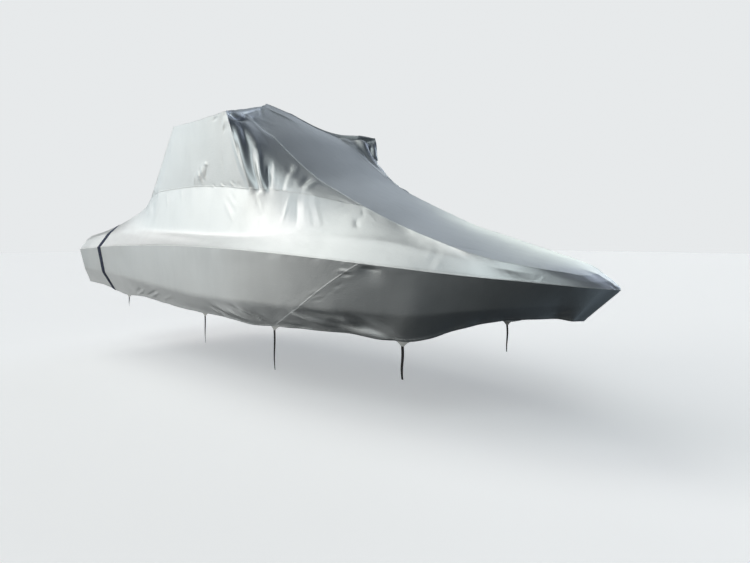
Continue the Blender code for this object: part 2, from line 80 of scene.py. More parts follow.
# Stations along the gunwale, where panels, seams and the belt begin and end.
STERN = -2.75
BELT_STATION = -1.97
TOWER_AFT = -0.80
EAR = 1.05
SEAM_TOP = 1.20
SEAM_JOIN = 2.55
SLANT_TOP = 2.72
SLANT_FOOT = 1.585
SLANT_AT_KNUCKLE = 0.59
BOW_FLAT = 4.30
BOW = 4.38
SLANT_FREE_AFT = -0.50
SLANT_FREE_FORWARD = 4.10

# How far up its panel the knuckle or the band lies, and how softly the cloth turns there.
KNUCKLE_AT = 0.30
KNUCKLE_SOFTNESS = 0.06
BAND_AT = 0.32
BAND_SOFTNESS = 0.10
FOLD_END = 0.3

# Fine cells in each cell of the solids: up a panel, up the tower and across the boat.
FINE_UP = 6
FINE_TOWER = 5
FINE_ACROSS = 12

# Rows and stations beside a sewn edge that carry its lap, as shares of a panel or in metres.
BESIDE_ROW = (0.007, 0.020, 0.027)
BESIDE_STATION = (0.004, 0.013, 0.018)


class Side(Enum):
    """A side of the boat, as the sign of its Y."""

    STARBOARD = -1
    PORT = 1

    @property
    def label(self) -> str:
        """The side's word in the names of nodes."""
        return self.name.lower()


class Rim(Enum):
    """An edge of a panel's grid of points."""

    LOW = "first row"
    HIGH = "last row"
    START = "first column"
    END = "last column"


class Sewn(Enum):
    """How a rim is finished."""

    OVER = "lapped over its neighbour, with two rows of stitches"
    UNDER = "lapped under its neighbour"
    HEM = "turned up and stitched"


class Held(Enum):
    STRETCHED = "stretched"
    HUNG = "hung"


class Row(NamedTuple):
    """Where a line of the cover crosses a station."""

    station: float
    forward: float
    out: float
    height: float


class Ridge(NamedTuple):
    """Where the centreline crosses a station; round is 1 for a straight pull, 2 for a crown."""

    station: float
    forward: float
    height: float
    round: float


class Edge(NamedTuple):
    """How far aft, in and up the knuckle or the hem lies at a station."""

    station: float
    aft: float
    inset: float
    height: float


class Span(NamedTuple):
    """A stretch of the cover's length, the solids' cells in it and the fine cells in each."""

    start: float
    end: float
    cells: int
    fine: int


class Fold(NamedTuple):
    """A soft ridge between two points, or a trough where rise is negative, given to port."""

    sides: tuple[int, ...]
    forward: float
    out: float
    height: float
    to_forward: float
    to_out: float
    to_height: float
    width: float
    rise: float


class Tie(NamedTuple):
    """Where a tie pulls: its station, how far its tab drops, and its strap's low end."""

    station: float
    drop: float
    end_height: float


GUNWALE = [
    Row(-2.75, -2.75, 1.22, 1.430),
    Row(-2.30, -2.30, 1.25, 1.448),
    Row(-1.20, -1.20, 1.25, 1.493),
    Row(0.00, 0.00, 1.25, 1.505),
    Row(1.00, 1.00, 1.25, 1.491),
    Row(1.80, 1.80, 1.18, 1.458),
    Row(2.40, 2.40, 1.08, 1.417),
    Row(3.00, 3.00, 0.92, 1.365),
    Row(3.40, 3.40, 0.77, 1.326),
    Row(3.80, 3.80, 0.57, 1.290),
    Row(4.10, 4.10, 0.37, 1.259),
    Row(4.30, 4.30, 0.17, 1.232),
    Row(4.38, 4.38, 0.00, 1.217),
]

BAND = [
    Row(-2.75, -2.75, 1.14, 1.540),
    Row(-2.30, -2.30, 1.12, 1.620),
    Row(-1.80, -1.80, 1.11, 1.655),
    Row(-1.20, -1.20, 1.11, 1.665),
    Row(0.00, 0.00, 1.11, 1.640),
    Row(1.20, 1.20, 1.09, 1.608),
    Row(1.80, 1.80, 1.02, 1.606),
    Row(2.40, 2.38, 0.90, 1.590),
    Row(3.00, 2.97, 0.77, 1.525),
    Row(3.40, 3.35, 0.69, 1.455),
    Row(3.80, 3.74, 0.58, 1.372),
    Row(4.10, 4.04, 0.39, 1.320),
    Row(4.30, 4.24, 0.18, 1.280),
    Row(4.38, 4.30, 0.00, 1.275),
]

WAIST = [
    Row(-2.75, -2.75, 1.06, 1.615),
    Row(-2.30, -2.30, 1.00, 1.690),
    Row(-1.80, -1.80, 0.99, 1.785),
    Row(-1.40, -1.40, 1.00, 1.865),
    Row(-1.15, -1.17, 1.00, 1.930),
    Row(-0.95, -1.02, 1.00, 2.000),
    Row(-0.80, -0.92, 1.00, 2.075),
    Row(-0.55, -0.66, 1.02, 2.130),
    Row(0.00, -0.02, 1.03, 2.140),
    Row(0.60, 0.66, 1.02, 2.115),
    Row(1.05, 1.17, 1.00, 2.060),
    Row(1.40, 1.48, 0.92, 2.040),
    Row(1.80, 1.80, 0.80, 1.990),
    Row(2.20, 2.08, 0.68, 1.925),
    Row(2.55, 2.34, 0.585, 1.870),
]

ROOF_EDGE = [
    Row(-0.80, -0.26, 1.02, 2.842),
    Row(0.10, 0.30, 1.05, 2.828),
    Row(0.70, 0.68, 1.06, 2.832),
    Row(1.05, 0.90, 1.06, 2.840),
]

CENTRE_SEAM = [
    Row(1.05, 0.90, 1.06, 2.840),
    Row(1.10, 0.82, 0.87, 2.868),
    Row(1.15, 0.73, 0.72, 2.876),
    Row(1.20, 0.71, 0.64, 2.850),
    Row(1.30, 0.80, 0.585, 2.765),
    Row(1.52, 1.00, 0.58, 2.640),
    Row(1.74, 1.29, 0.58, 2.430),
    Row(2.08, 1.74, 0.575, 2.140),
    Row(2.30, 2.02, 0.575, 2.010),
    Row(2.55, 2.34, 0.585, 1.870),
    Row(3.00, 2.77, 0.590, 1.700),
    Row(3.30, 3.10, 0.625, 1.600),
    Row(3.60, 3.43, 0.635, 1.500),
    Row(3.80, 3.66, 0.590, 1.440),
    Row(3.95, 3.84, 0.510, 1.400),
    Row(4.10, 3.98, 0.410, 1.370),
    Row(4.20, 4.07, 0.310, 1.350),
    Row(4.30, 4.17, 0.190, 1.322),
]

RIDGE = [
    Ridge(-0.80, -0.30, 2.930, 1.6),
    Ridge(0.10, -0.14, 3.040, 1.3),
    Ridge(0.70, 0.02, 3.160, 1.0),
    Ridge(1.05, 0.09, 3.210, 0.85),
    Ridge(1.12, 0.16, 3.175, 0.95),
    Ridge(1.20, 0.34, 3.075, 1.1),
    Ridge(1.30, 0.56, 2.950, 1.3),
    Ridge(1.52, 0.94, 2.715, 1.7),
    Ridge(1.74, 1.27, 2.485, 1.8),
    Ridge(2.08, 1.73, 2.190, 1.8),
    Ridge(2.55, 2.34, 1.920, 1.8),
    Ridge(3.00, 2.78, 1.748, 1.8),
    Ridge(3.60, 3.45, 1.545, 1.8),
    Ridge(4.10, 4.00, 1.390, 1.8),
    Ridge(4.30, 4.20, 1.328, 1.0),
]

KNUCKLE = [
    Edge(-2.75, -0.02, 0.05, 1.160),
    Edge(-1.80, 0.00, 0.05, 1.125),
    Edge(-0.60, 0.00, 0.04, 1.055),
    Edge(0.60, 0.00, 0.04, 0.995),
    Edge(1.80, 0.00, 0.04, 0.980),
    Edge(3.00, 0.00, 0.06, 0.985),
    Edge(3.60, 0.03, 0.09, 1.050),
    Edge(4.10, 0.09, 0.10, 1.095),
    Edge(4.38, 0.13, 0.00, 1.095),
]

HEM = [
    Edge(-2.75, -0.03, 0.12, 0.965),
    Edge(-2.30, 0.00, 0.17, 0.940),
    Edge(-1.53, 0.00, 0.20, 0.848),
    Edge(-1.20, 0.00, 0.22, 0.852),
    Edge(-0.60, 0.00, 0.22, 0.815),
    Edge(0.00, 0.00, 0.22, 0.785),
    Edge(0.36, 0.00, 0.22, 0.780),
    Edge(0.75, 0.00, 0.22, 0.776),
    Edge(1.30, 0.00, 0.21, 0.752),
    Edge(1.585, 0.00, 0.20, 0.765),
    Edge(1.85, 0.00, 0.20, 0.772),
    Edge(2.40, 0.00, 0.20, 0.785),
    Edge(2.85, 0.00, 0.16, 0.772),
    Edge(2.98, 0.00, 0.14, 0.765),
    Edge(3.17, 0.01, 0.17, 0.800),
    Edge(3.45, 0.03, 0.20, 0.905),
    Edge(3.80, 0.06, 0.22, 0.975),
    Edge(4.10, 0.15, 0.20, 0.985),
    Edge(4.38, 0.27, 0.00, 0.965),
]

# The centreline of the aft deck's cloth, up to the foot of the tower.
AFT_RIDGE = [
    Ridge(-2.75, -2.79, 1.660, 2.0),
    Ridge(-1.80, -1.80, 1.830, 2.0),
    Ridge(-1.15, -1.19, 1.990, 2.0),
    Ridge(-0.80, -0.95, 2.130, 2.0),
]

BOTH = (-1, 1)
PORT = (1,)

FOLDS = [
    Fold(BOTH, 0.93, 0.99, 2.72, 1.22, 0.99, 2.07, 0.045, 0.034),
    Fold(BOTH, 0.95, 0.90, 2.67, 1.31, 0.96, 2.06, 0.032, -0.034),
    Fold(BOTH, 1.02, 0.84, 2.60, 1.37, 0.96, 2.08, 0.050, 0.022),
    Fold(BOTH, 1.32, 0.84, 2.33, 1.43, 0.94, 2.05, 0.034, -0.016),
    Fold(BOTH, 1.30, 0.78, 2.36, 1.49, 0.92, 2.06, 0.030, 0.003),
    Fold(BOTH, 1.42, 0.68, 2.30, 1.56, 0.88, 2.05, 0.030, -0.010),
    Fold(BOTH, 1.45, 0.62, 2.31, 1.60, 0.86, 2.06, 0.026, 0.007),
    Fold(BOTH, 1.63, 0.61, 2.19, 1.71, 0.79, 2.06, 0.026, -0.008),
    Fold(BOTH, 1.72, 0.60, 2.15, 1.77, 0.77, 2.04, 0.026, 0.006),
    Fold(BOTH, 0.91, 0.98, 2.80, 0.80, 0.76, 2.82, 0.040, -0.050),
    Fold(BOTH, 1.72, 0.86, 1.96, 1.86, 0.95, 1.71, 0.060, -0.010),
    Fold(BOTH, 2.01, 1.04, 0.90, 2.85, 0.80, 0.80, 0.060, 0.014),
    Fold(BOTH, 2.50, 0.98, 1.00, 2.90, 0.82, 0.80, 0.060, -0.014),
    Fold(BOTH, 1.40, 1.15, 0.93, 1.57, 1.03, 0.78, 0.060, -0.005),
    Fold(BOTH, 0.75, 1.14, 0.91, 1.40, 1.05, 0.79, 0.060, 0.014),
    Fold(BOTH, 3.17, 0.84, 1.20, 3.06, 0.76, 0.81, 0.120, 0.010),
    Fold(PORT, 1.00, 1.04, 2.55, 1.14, 1.00, 2.22, 0.150, -0.120),
]

# Where the cloth hangs lower than on the other side, given as a fold is.
SAGS = [
    Fold(PORT, 0.22, 0.28, 3.08, 0.78, 0.90, 2.89, 0.180, -0.120),
]

TIES = [
    Tie(-1.530, 0.030, 0.700),
    Tie(0.825, 0.030, 0.450),
    Tie(SLANT_TOP, 0.036, 0.350),
    Tie(3.485, 0.036, 0.460),
]

SPANS = [
    Span(STERN, -2.020, 3, 8),
    Span(-2.020, -1.920, 1, 5),
    Span(-1.920, -1.586, 2, 8),
    Span(-1.586, -1.474, 2, 3),
    Span(-1.474, TOWER_AFT, 5, 6),
    Span(TOWER_AFT, 0.741, 8, 12),
    Span(0.741, 0.909, 2, 6),
    Span(0.909, EAR, 2, 5),
    Span(EAR, 1.700, 13, 5),
    Span(1.700, SEAM_JOIN, 9, 8),
    Span(SEAM_JOIN, SLANT_TOP, 2, 7),
    Span(SLANT_TOP, 2.753, 1, 3),
    Span(2.753, 3.452, 5, 10),
    Span(3.452, 3.518, 2, 3),
    Span(3.518, BOW_FLAT, 6, 9),
    Span(BOW_FLAT, BOW, 4, 3),
]

# How far up or across a panel its rows of points lie.
SKIRT_ROWS = [0.0, 0.10, 0.20, 0.30, 0.42, 0.60, 0.80, 0.90, 1.0]
DECK_ROWS = [0.0, 0.16, 0.32, 0.48, 0.64, 0.82, 1.0]
TOWER_ROWS = [0.0, 0.08, 0.16, 0.25, 0.34, 0.44, 0.54, 0.65, 0.76, 0.88, 0.95, 1.0]
ACROSS = [-1.0, -0.90, -0.75, -0.50, -0.25, 0.0, 0.25, 0.50, 0.75, 0.90, 1.0]

# Where the seams' laps, hems and stitches lie, from the rim of the cloth.
FAR = 9.0
LAP_WIDTH = 0.014
LAP_EASE = 0.005
LAP_RISE = 0.0012
# How far each lap is painted towards the stitches' colour: rubbed wear and painted highlight.
LAP_WEAR_AND_HIGHLIGHT = 0.14
# A thin painted shade line just inside each lap: where it lies, its width and its darkness.
LAP_SHADE_AT = 0.020
LAP_SHADE_WIDTH = 0.008
LAP_SHADE = 0.7
HEM_WIDTH = 0.028
HEM_RISE = 0.0018
HEM_WAVE = 0.006
HEM_REACH = 0.10
HEM_STITCH = 0.025
STITCH = 0.006
STITCH_GAP = 0.30
STITCH_ROWS = (0.004, 0.011)
THREAD = 0.0014

# The bumps of the finishes, in metres, and the waves in a metre of them.
CREASE_BUMP = 0.0003
FINE_BUMP = 0.00008
WEAVE_SCALE = 210.0
WEAVE_BUMP = 0.00008
RIB_SCALE = 60.0
RIB_BUMP = 0.0004

# A line inside the boat that the cloth faces away from, and an odd share of a cell, so that no
# point lies on the border between two cells.
CORE_ENDS = (-2.20, 3.90)
CORE_HEIGHT = 1.25
OFF_BORDER = 0.3137

# How uneven the cloth lies: at a rim, and how far from it a panel's own slack begins.
RIM_SLACK = 0.35
SLACK_REACH = 0.18

# Tabs: how deep their edges are cut in, and their length. A strap shorter than this many
# widths counts as a small sheet.
TAB_HOLLOW = 0.004
TAB_LENGTH = 0.03

# Creases finer than the folds of the solids.
STARBOARD = (-1,)

CREASES = [
    # Down the front of the tower, from the ear and the centre seam to the waist.
    Fold(BOTH, 0.94, 1.05, 2.74, 1.01, 1.02, 2.56, 0.010, -0.002),
    Fold(BOTH, 1.01, 1.02, 2.56, 1.16, 1.00, 2.11, 0.010, -0.002),
    Fold(BOTH, 1.08, 0.98, 2.40, 1.20, 0.99, 2.10, 0.014, 0.006),
    Fold(BOTH, 0.96, 0.91, 2.66, 1.12, 0.92, 2.43, 0.020, -0.018),
    Fold(BOTH, 1.12, 0.92, 2.43, 1.31, 0.96, 2.07, 0.020, -0.026),
    Fold(BOTH, 1.15, 0.88, 2.47, 1.23, 0.90, 2.36, 0.024, 0.012),
    Fold(BOTH, 1.21, 0.90, 2.38, 1.36, 0.96, 2.08, 0.026, 0.020),
    Fold(BOTH, 1.10, 0.82, 2.56, 1.13, 0.92, 2.46, 0.010, 0.005),
    Fold(BOTH, 1.33, 0.88, 2.30, 1.42, 0.94, 2.06, 0.016, -0.016),
    Fold(BOTH, 1.34, 0.80, 2.35, 1.46, 0.92, 2.06, 0.012, 0.005),
    Fold(BOTH, 1.42, 0.75, 2.30, 1.50, 0.91, 2.06, 0.012, -0.004),
    Fold(BOTH, 1.48, 0.70, 2.26, 1.56, 0.88, 2.05, 0.012, -0.010),
    Fold(BOTH, 1.47, 0.62, 2.30, 1.60, 0.86, 2.05, 0.010, 0.010),
    Fold(BOTH, 1.57, 0.67, 2.21, 1.65, 0.82, 2.06, 0.010, -0.005),
    Fold(BOTH, 1.67, 0.60, 2.19, 1.70, 0.77, 2.07, 0.014, -0.012),
    Fold(BOTH, 1.74, 0.59, 2.14, 1.75, 0.75, 2.06, 0.010, 0.008),
    Fold(BOTH, 1.80, 0.60, 2.08, 1.82, 0.72, 2.02, 0.010, -0.005),
    Fold(BOTH, 1.86, 0.59, 2.07, 1.90, 0.68, 1.99, 0.009, 0.004),
    # The pocket under the ear, and the folds that run from the peak.
    Fold(BOTH, 0.90, 1.03, 2.81, 0.80, 0.76, 2.82, 0.024, -0.016),
    Fold(BOTH, 0.93, 1.04, 2.74, 0.86, 0.81, 2.75, 0.020, 0.014),
    Fold(BOTH, 0.86, 1.00, 2.86, 0.74, 0.74, 2.88, 0.016, 0.006),
    Fold(STARBOARD, 0.27, 0.16, 3.13, 0.59, -0.04, 2.93, 0.030, 0.010),
    Fold(STARBOARD, 0.29, 0.22, 3.12, 0.60, 0.44, 2.90, 0.030, -0.012),
    Fold(PORT, 0.80, 0.85, 2.80, 1.00, 0.78, 2.64, 0.070, 0.045),
    Fold(PORT, 0.88, 0.97, 2.76, 1.06, 0.86, 2.56, 0.035, -0.035),
    Fold(PORT, 1.02, 0.66, 2.62, 1.10, 0.66, 2.55, 0.014, 0.014),
    Fold(PORT, 1.00, 0.72, 2.62, 1.28, 0.70, 2.40, 0.040, -0.020),
    # The oval bump in the tower's side.
    Fold(BOTH, 0.23, 1.03, 2.19, 0.45, 1.04, 2.36, 0.060, 0.009),
    # Under the waist seam.
    Fold(BOTH, 0.87, 1.02, 2.05, 1.00, 1.03, 1.95, 0.010, -0.0037),
    Fold(BOTH, 0.83, 1.04, 1.99, 1.02, 1.05, 1.84, 0.012, -0.005),
    Fold(BOTH, 0.80, 1.04, 1.96, 1.00, 1.07, 1.76, 0.014, 0.0043),
    Fold(BOTH, 1.26, 0.99, 2.02, 1.36, 1.00, 1.88, 0.012, -0.005),
    Fold(BOTH, 1.31, 0.99, 2.01, 1.40, 1.00, 1.88, 0.010, 0.0045),
    Fold(BOTH, 1.66, 0.88, 1.97, 1.68, 0.97, 1.74, 0.017, 0.004),
    Fold(BOTH, 1.73, 0.85, 1.95, 1.85, 0.94, 1.72, 0.012, -0.004),
    Fold(BOTH, 1.80, 0.82, 1.94, 1.92, 0.92, 1.74, 0.010, 0.002),
    Fold(BOTH, 1.85, 0.81, 1.94, 2.04, 0.90, 1.70, 0.012, -0.004),
    Fold(BOTH, 1.91, 0.79, 1.93, 2.10, 0.88, 1.70, 0.015, 0.005),
    Fold(BOTH, 1.95, 0.76, 1.94, 2.14, 0.86, 1.72, 0.010, -0.004),
    Fold(BOTH, 2.03, 0.73, 1.92, 2.16, 0.80, 1.80, 0.009, -0.003),
    Fold(BOTH, 2.08, 0.72, 1.91, 2.20, 0.78, 1.80, 0.010, 0.002),
    Fold(BOTH, 2.16, 0.68, 1.89, 2.27, 0.74, 1.82, 0.009, 0.002),
    Fold(BOTH, 2.38, 0.72, 1.76, 2.46, 0.77, 1.66, 0.025, -0.005),
    Fold(BOTH, 2.34, 0.61, 1.87, 2.42, 0.66, 1.78, 0.009, -0.0037),
    Fold(BOTH, 2.42, 0.62, 1.83, 2.56, 0.66, 1.74, 0.009, 0.0036),
    Fold(BOTH, -0.34, 1.03, 2.12, -0.27, 1.08, 1.98, 0.012, -0.0037),
    Fold(BOTH, -0.10, 1.03, 2.13, -0.03, 1.08, 1.96, 0.015, 0.0037),
    Fold(BOTH, -0.44, 1.02, 2.09, -0.38, 1.07, 1.94, 0.014, 0.0045),
    # The soft bands along the side decks.
    Fold(BOTH, -1.57, 1.09, 1.69, 1.15, 1.18, 1.54, 0.050, 0.008),
    Fold(BOTH, 1.57, 1.07, 1.60, 2.93, 0.76, 1.54, 0.050, 0.008),
    # The crumple in the tower's side.
    Fold(BOTH, 0.33, 1.04, 2.34, 0.32, 1.03, 2.29, 0.009, -0.007),
    Fold(BOTH, 0.32, 1.03, 2.29, 0.40, 1.03, 2.19, 0.009, -0.008),
    Fold(BOTH, 0.36, 1.03, 2.33, 0.42, 1.03, 2.20, 0.010, 0.007),
    Fold(BOTH, 0.29, 1.03, 2.29, 0.35, 1.03, 2.16, 0.009, 0.008),
    Fold(BOTH, 0.26, 1.03, 2.27, 0.30, 1.03, 2.17, 0.008, -0.007),
    Fold(BOTH, 0.22, 1.03, 2.28, 0.19, 1.03, 2.17, 0.008, 0.007),
    Fold(BOTH, 0.43, 1.04, 2.37, 0.48, 1.03, 2.35, 0.012, 0.009),
    Fold(BOTH, 0.46, 1.03, 2.32, 0.44, 1.03, 2.22, 0.010, -0.005),
    # Small puckers just above the waist seam.
    Fold(BOTH, 0.54, 1.02, 2.14, 0.59, 1.02, 2.11, 0.009, 0.005),
    Fold(BOTH, 0.57, 1.02, 2.14, 0.62, 1.02, 2.11, 0.008, -0.005),
    Fold(BOTH, 0.71, 1.02, 2.14, 0.76, 1.02, 2.11, 0.009, 0.006),
    Fold(BOTH, 0.74, 1.02, 2.14, 0.79, 1.02, 2.11, 0.008, -0.005),
    Fold(BOTH, 0.88, 1.02, 2.15, 0.93, 1.01, 2.11, 0.010, 0.006),
    Fold(BOTH, 0.92, 1.02, 2.15, 0.97, 1.01, 2.11, 0.009, -0.006),
    Fold(BOTH, 1.03, 1.01, 2.14, 1.05, 1.01, 2.09, 0.009, -0.004),
    Fold(BOTH, 1.31, 0.97, 2.12, 1.35, 0.96, 2.07, 0.009, 0.005),
    # Long shallow creases beside the ear's fold.
    Fold(BOTH, 0.77, 1.04, 2.44, 0.81, 1.02, 2.18, 0.014, -0.003),
    Fold(BOTH, 0.99, 1.03, 2.38, 1.05, 1.02, 2.21, 0.010, -0.003),
    Fold(BOTH, 0.87, 1.05, 2.72, 0.83, 1.05, 2.65, 0.014, -0.006),
    Fold(BOTH, 0.73, 1.06, 2.80, 0.65, 1.06, 2.78, 0.014, -0.004),
    # Across the skirts, from the slanting seam and to the ties.
    Fold(BOTH, 1.08, 1.17, 0.93, 1.25, 1.12, 0.87, 0.018, -0.009),
    Fold(BOTH, 1.25, 1.12, 0.87, 1.50, 1.05, 0.80, 0.020, -0.012),
    Fold(BOTH, 1.20, 1.16, 0.93, 1.38, 1.10, 0.87, 0.020, 0.016),
    Fold(BOTH, 1.36, 1.11, 0.88, 1.54, 1.04, 0.80, 0.020, 0.016),
    Fold(BOTH, 1.00, 1.14, 0.88, 1.24, 1.08, 0.81, 0.020, 0.012),
    Fold(BOTH, 0.61, 1.10, 0.86, 0.74, 1.05, 0.80, 0.016, 0.009),
    Fold(BOTH, 0.68, 1.12, 0.89, 0.82, 1.07, 0.82, 0.016, -0.008),
    Fold(BOTH, 0.82, 1.14, 0.90, 0.95, 1.09, 0.83, 0.016, 0.009),
    Fold(BOTH, -1.31, 1.06, 0.88, -1.01, 1.12, 0.97, 0.012, -0.010),
    Fold(BOTH, -1.23, 1.05, 0.88, -0.93, 1.12, 0.96, 0.012, 0.011),
    Fold(BOTH, -0.98, 1.05, 0.87, -0.54, 1.15, 0.97, 0.014, -0.010),
    Fold(BOTH, -0.91, 1.05, 0.86, -0.51, 1.14, 0.95, 0.012, 0.010),
    Fold(BOTH, -0.51, 1.07, 0.86, -0.19, 1.14, 0.94, 0.012, 0.006),
    Fold(BOTH, 2.06, 1.09, 0.98, 2.46, 0.98, 0.93, 0.026, -0.016),
    Fold(BOTH, 1.97, 1.07, 0.93, 2.36, 0.95, 0.84, 0.030, 0.028),
    Fold(BOTH, 2.00, 1.04, 0.88, 2.20, 0.98, 0.84, 0.020, -0.012),
    Fold(BOTH, 2.34, 0.98, 0.89, 2.64, 0.89, 0.84, 0.026, -0.014),
    Fold(BOTH, 2.42, 0.93, 0.83, 2.86, 0.81, 0.78, 0.028, 0.026),
    Fold(BOTH, 2.55, 0.94, 0.90, 2.80, 0.84, 0.83, 0.026, -0.012),
    Fold(BOTH, 2.48, 1.00, 0.98, 2.79, 0.87, 0.88, 0.034, -0.008),
    Fold(BOTH, 2.45, 0.97, 0.92, 2.60, 0.92, 0.88, 0.020, 0.008),
    Fold(BOTH, 1.76, 1.04, 0.84, 2.00, 0.98, 0.82, 0.016, 0.008),
    Fold(BOTH, 1.76, 1.02, 0.81, 2.04, 0.96, 0.79, 0.014, -0.008),
    # Puckers along the slanting seam.
    Fold(BOTH, 2.21, 1.09, 1.14, 2.30, 1.07, 1.14, 0.009, 0.004),
    Fold(BOTH, 2.20, 1.09, 1.11, 2.29, 1.07, 1.11, 0.009, -0.004),
    Fold(BOTH, 2.24, 1.08, 1.08, 2.33, 1.06, 1.08, 0.010, -0.004),
    Fold(BOTH, 2.27, 1.07, 1.10, 2.33, 1.06, 1.10, 0.008, 0.004),
    Fold(BOTH, 2.46, 1.04, 1.20, 2.55, 1.02, 1.22, 0.010, -0.003),
    Fold(BOTH, 2.43, 1.05, 1.18, 2.51, 1.03, 1.16, 0.010, 0.003),
    Fold(BOTH, 2.38, 1.06, 1.16, 2.45, 1.04, 1.15, 0.008, -0.003),
    Fold(BOTH, 2.13, 1.09, 1.03, 2.23, 1.07, 1.00, 0.012, -0.003),
    Fold(BOTH, 2.52, 1.04, 1.33, 2.62, 1.02, 1.32, 0.014, 0.006),
    Fold(BOTH, 2.53, 1.04, 1.31, 2.62, 1.01, 1.29, 0.012, -0.006),
    Fold(BOTH, 2.58, 1.02, 1.28, 2.65, 1.01, 1.27, 0.010, 0.004),
    # The pocket below the gunwale, forward of the slanting seam.
    Fold(BOTH, 2.73, 0.99, 1.357, 2.88, 0.95, 1.342, 0.016, -0.013),
    Fold(BOTH, 2.72, 0.99, 1.337, 2.88, 0.95, 1.320, 0.022, -0.007),
    Fold(BOTH, 2.71, 1.00, 1.312, 2.89, 0.95, 1.290, 0.032, -0.006),
    Fold(BOTH, 2.70, 1.01, 1.275, 2.90, 0.94, 1.250, 0.045, -0.004),
    # Crinkles by the gunwale and along the hem under the bow.
    Fold(BOTH, 3.77, 0.57, 1.36, 3.82, 0.55, 1.31, 0.012, -0.002),
    Fold(BOTH, 3.78, 0.55, 1.37, 3.84, 0.54, 1.31, 0.010, 0.002),
    Fold(BOTH, 3.80, 0.55, 1.35, 3.86, 0.53, 1.31, 0.010, -0.002),
    Fold(BOTH, 3.96, 0.46, 1.29, 3.98, 0.44, 1.32, 0.012, -0.002),
    Fold(BOTH, 3.98, 0.45, 1.29, 3.99, 0.43, 1.31, 0.010, 0.002),
    Fold(BOTH, 3.31, 0.63, 1.54, 3.53, 0.48, 1.49, 0.020, -0.003),
    Fold(BOTH, 3.97, 0.22, 1.03, 4.09, 0.17, 1.06, 0.014, -0.004),
    Fold(BOTH, 3.98, 0.19, 1.01, 4.10, 0.15, 1.05, 0.014, 0.004),
    Fold(BOTH, 3.38, 0.59, 0.92, 3.42, 0.59, 0.95, 0.012, -0.004),
    Fold(BOTH, 3.43, 0.56, 0.93, 3.48, 0.55, 0.96, 0.012, 0.003),
    Fold(BOTH, 3.49, 0.52, 0.94, 3.55, 0.52, 0.98, 0.012, -0.004),
    Fold(BOTH, 3.57, 0.47, 0.96, 3.62, 0.47, 0.99, 0.012, 0.003),
    Fold(BOTH, 3.64, 0.42, 0.97, 3.70, 0.42, 1.00, 0.012, -0.004),
    Fold(BOTH, 3.73, 0.36, 0.97, 3.78, 0.36, 1.01, 0.012, 0.003),
    Fold(BOTH, 3.81, 0.30, 0.98, 3.86, 0.30, 1.01, 0.012, -0.003),
    # The turned end of the bow panel.
    Fold(BOTH, 4.31, 0.03, 1.26, 4.35, 0.06, 1.22, 0.022, 0.010),
    Fold(BOTH, 4.31, 0.05, 1.26, 4.37, 0.02, 1.22, 0.022, -0.012),
]


class Crumple(NamedTuple):
    """A patch of small unordered creases round a point."""

    sides: tuple[int, ...]
    forward: float
    out: float
    height: float
    radius: float
    rise: float


CRUMPLES = [
    Crumple(STARBOARD, 0.62, 0.55, 2.90, 0.30, 0.003),
    Crumple(PORT, 0.95, 0.80, 2.74, 0.24, 0.005),
    Crumple(BOTH, 0.92, 1.03, 2.76, 0.14, 0.004),
    Crumple(BOTH, 2.34, 0.60, 1.88, 0.20, 0.002),
    Crumple(BOTH, 3.25, 0.72, 1.40, 0.16, 0.002),
    Crumple(BOTH, -0.86, 1.01, 2.06, 0.20, 0.007),
]


@dataclass(frozen=True)
class Unevenness:
    """A smooth, seeded roughness in space: many plane waves in all directions.

    Attributes:
        wavelength: The length of its waves, in metres.
        seed: The seed of its directions and phases.
        waves: How many waves are added up.
    """

    wavelength: float
    seed: int
    waves: int = 28

    def at(self, points: Grid) -> Grid:
        """The roughness at each point.

        Args:
            points: Points in space, the last axis of length 3.

        Returns:
            Values of about -1 to 1, one for each point.
        """
        draw = np.random.default_rng(self.seed)
        ways = unit(draw.normal(size=(self.waves, 3)))
        lengths = self.wavelength * draw.uniform(0.75, 1.6, self.waves)
        phases = draw.uniform(0, 2 * math.pi, self.waves)
        total = np.zeros(points.shape[:-1])
        for way, length, phase in zip(ways, lengths, phases):
            total += np.sin(points @ way * (2 * math.pi / length) + phase)
        return total / math.sqrt(2 * self.waves) / 1.2


# Unevenness that every panel shows: how far it lifts the cloth, and its roughness in space.
UNEVEN = (
    (0.0030, Unevenness(0.80, 11)),
    (0.0004, Unevenness(0.24, 12)),
)
# Puckers beside the seams: how far they lift the cloth, how far they reach, their roughness.
PUCKERS = (
    (0.0016, 0.060, Unevenness(0.14, 21)),
    (0.0008, 0.030, Unevenness(0.070, 22)),
)
HEM_RIPPLE = Unevenness(0.24, 31)
CRUMPLED = Unevenness(0.11, 41)


def unit(vectors: Grid) -> Grid:
    """The vectors at length 1; one with no length stays as it is."""
    length = np.linalg.norm(vectors, axis=-1, keepdims=True)
    return np.where(length > NO_LENGTH, vectors / np.maximum(length, NO_LENGTH), 0)


def mix(a: Grid, b: Grid, share: ArrayLike) -> Grid:
    """From a at share 0 to b at share 1."""
    along = np.asarray(share, float)[..., None]
    return a * (1 - along) + b * along


def ease(at: Grid, start: float, end: float) -> Grid:
    """Rises smoothly from 0 at start to 1 at end, or falls where end comes first."""
    t = np.clip((at - start) / (end - start), 0, 1)
    return t * t * (3 - 2 * t)


def lift_at(points: Grid, folds: list[Fold]) -> Grid:
    """How far the folds lift the cloth.

    Args:
        points: The points of the cloth.
        folds: Ridges and troughs, in the same frame as the points.

    Returns:
        The lift at each point, in metres.
    """
    lift = np.zeros(points.shape[:-1])
    for fold in folds:
        for side in fold.sides:
            start = np.array([fold.forward, fold.out * side, fold.height])
            run = np.array([fold.to_forward, fold.to_out * side, fold.to_height]) - start
            t = np.clip(((points - start) @ run) / (run @ run), 0, 1)
            away = np.linalg.norm(points - start - t[..., None] * run, axis=-1)
            ends = FOLD_END + (1 - FOLD_END) * np.sin(math.pi * t)
            lift += fold.rise * np.exp(-((away / fold.width) ** 2)) * ends
    return lift


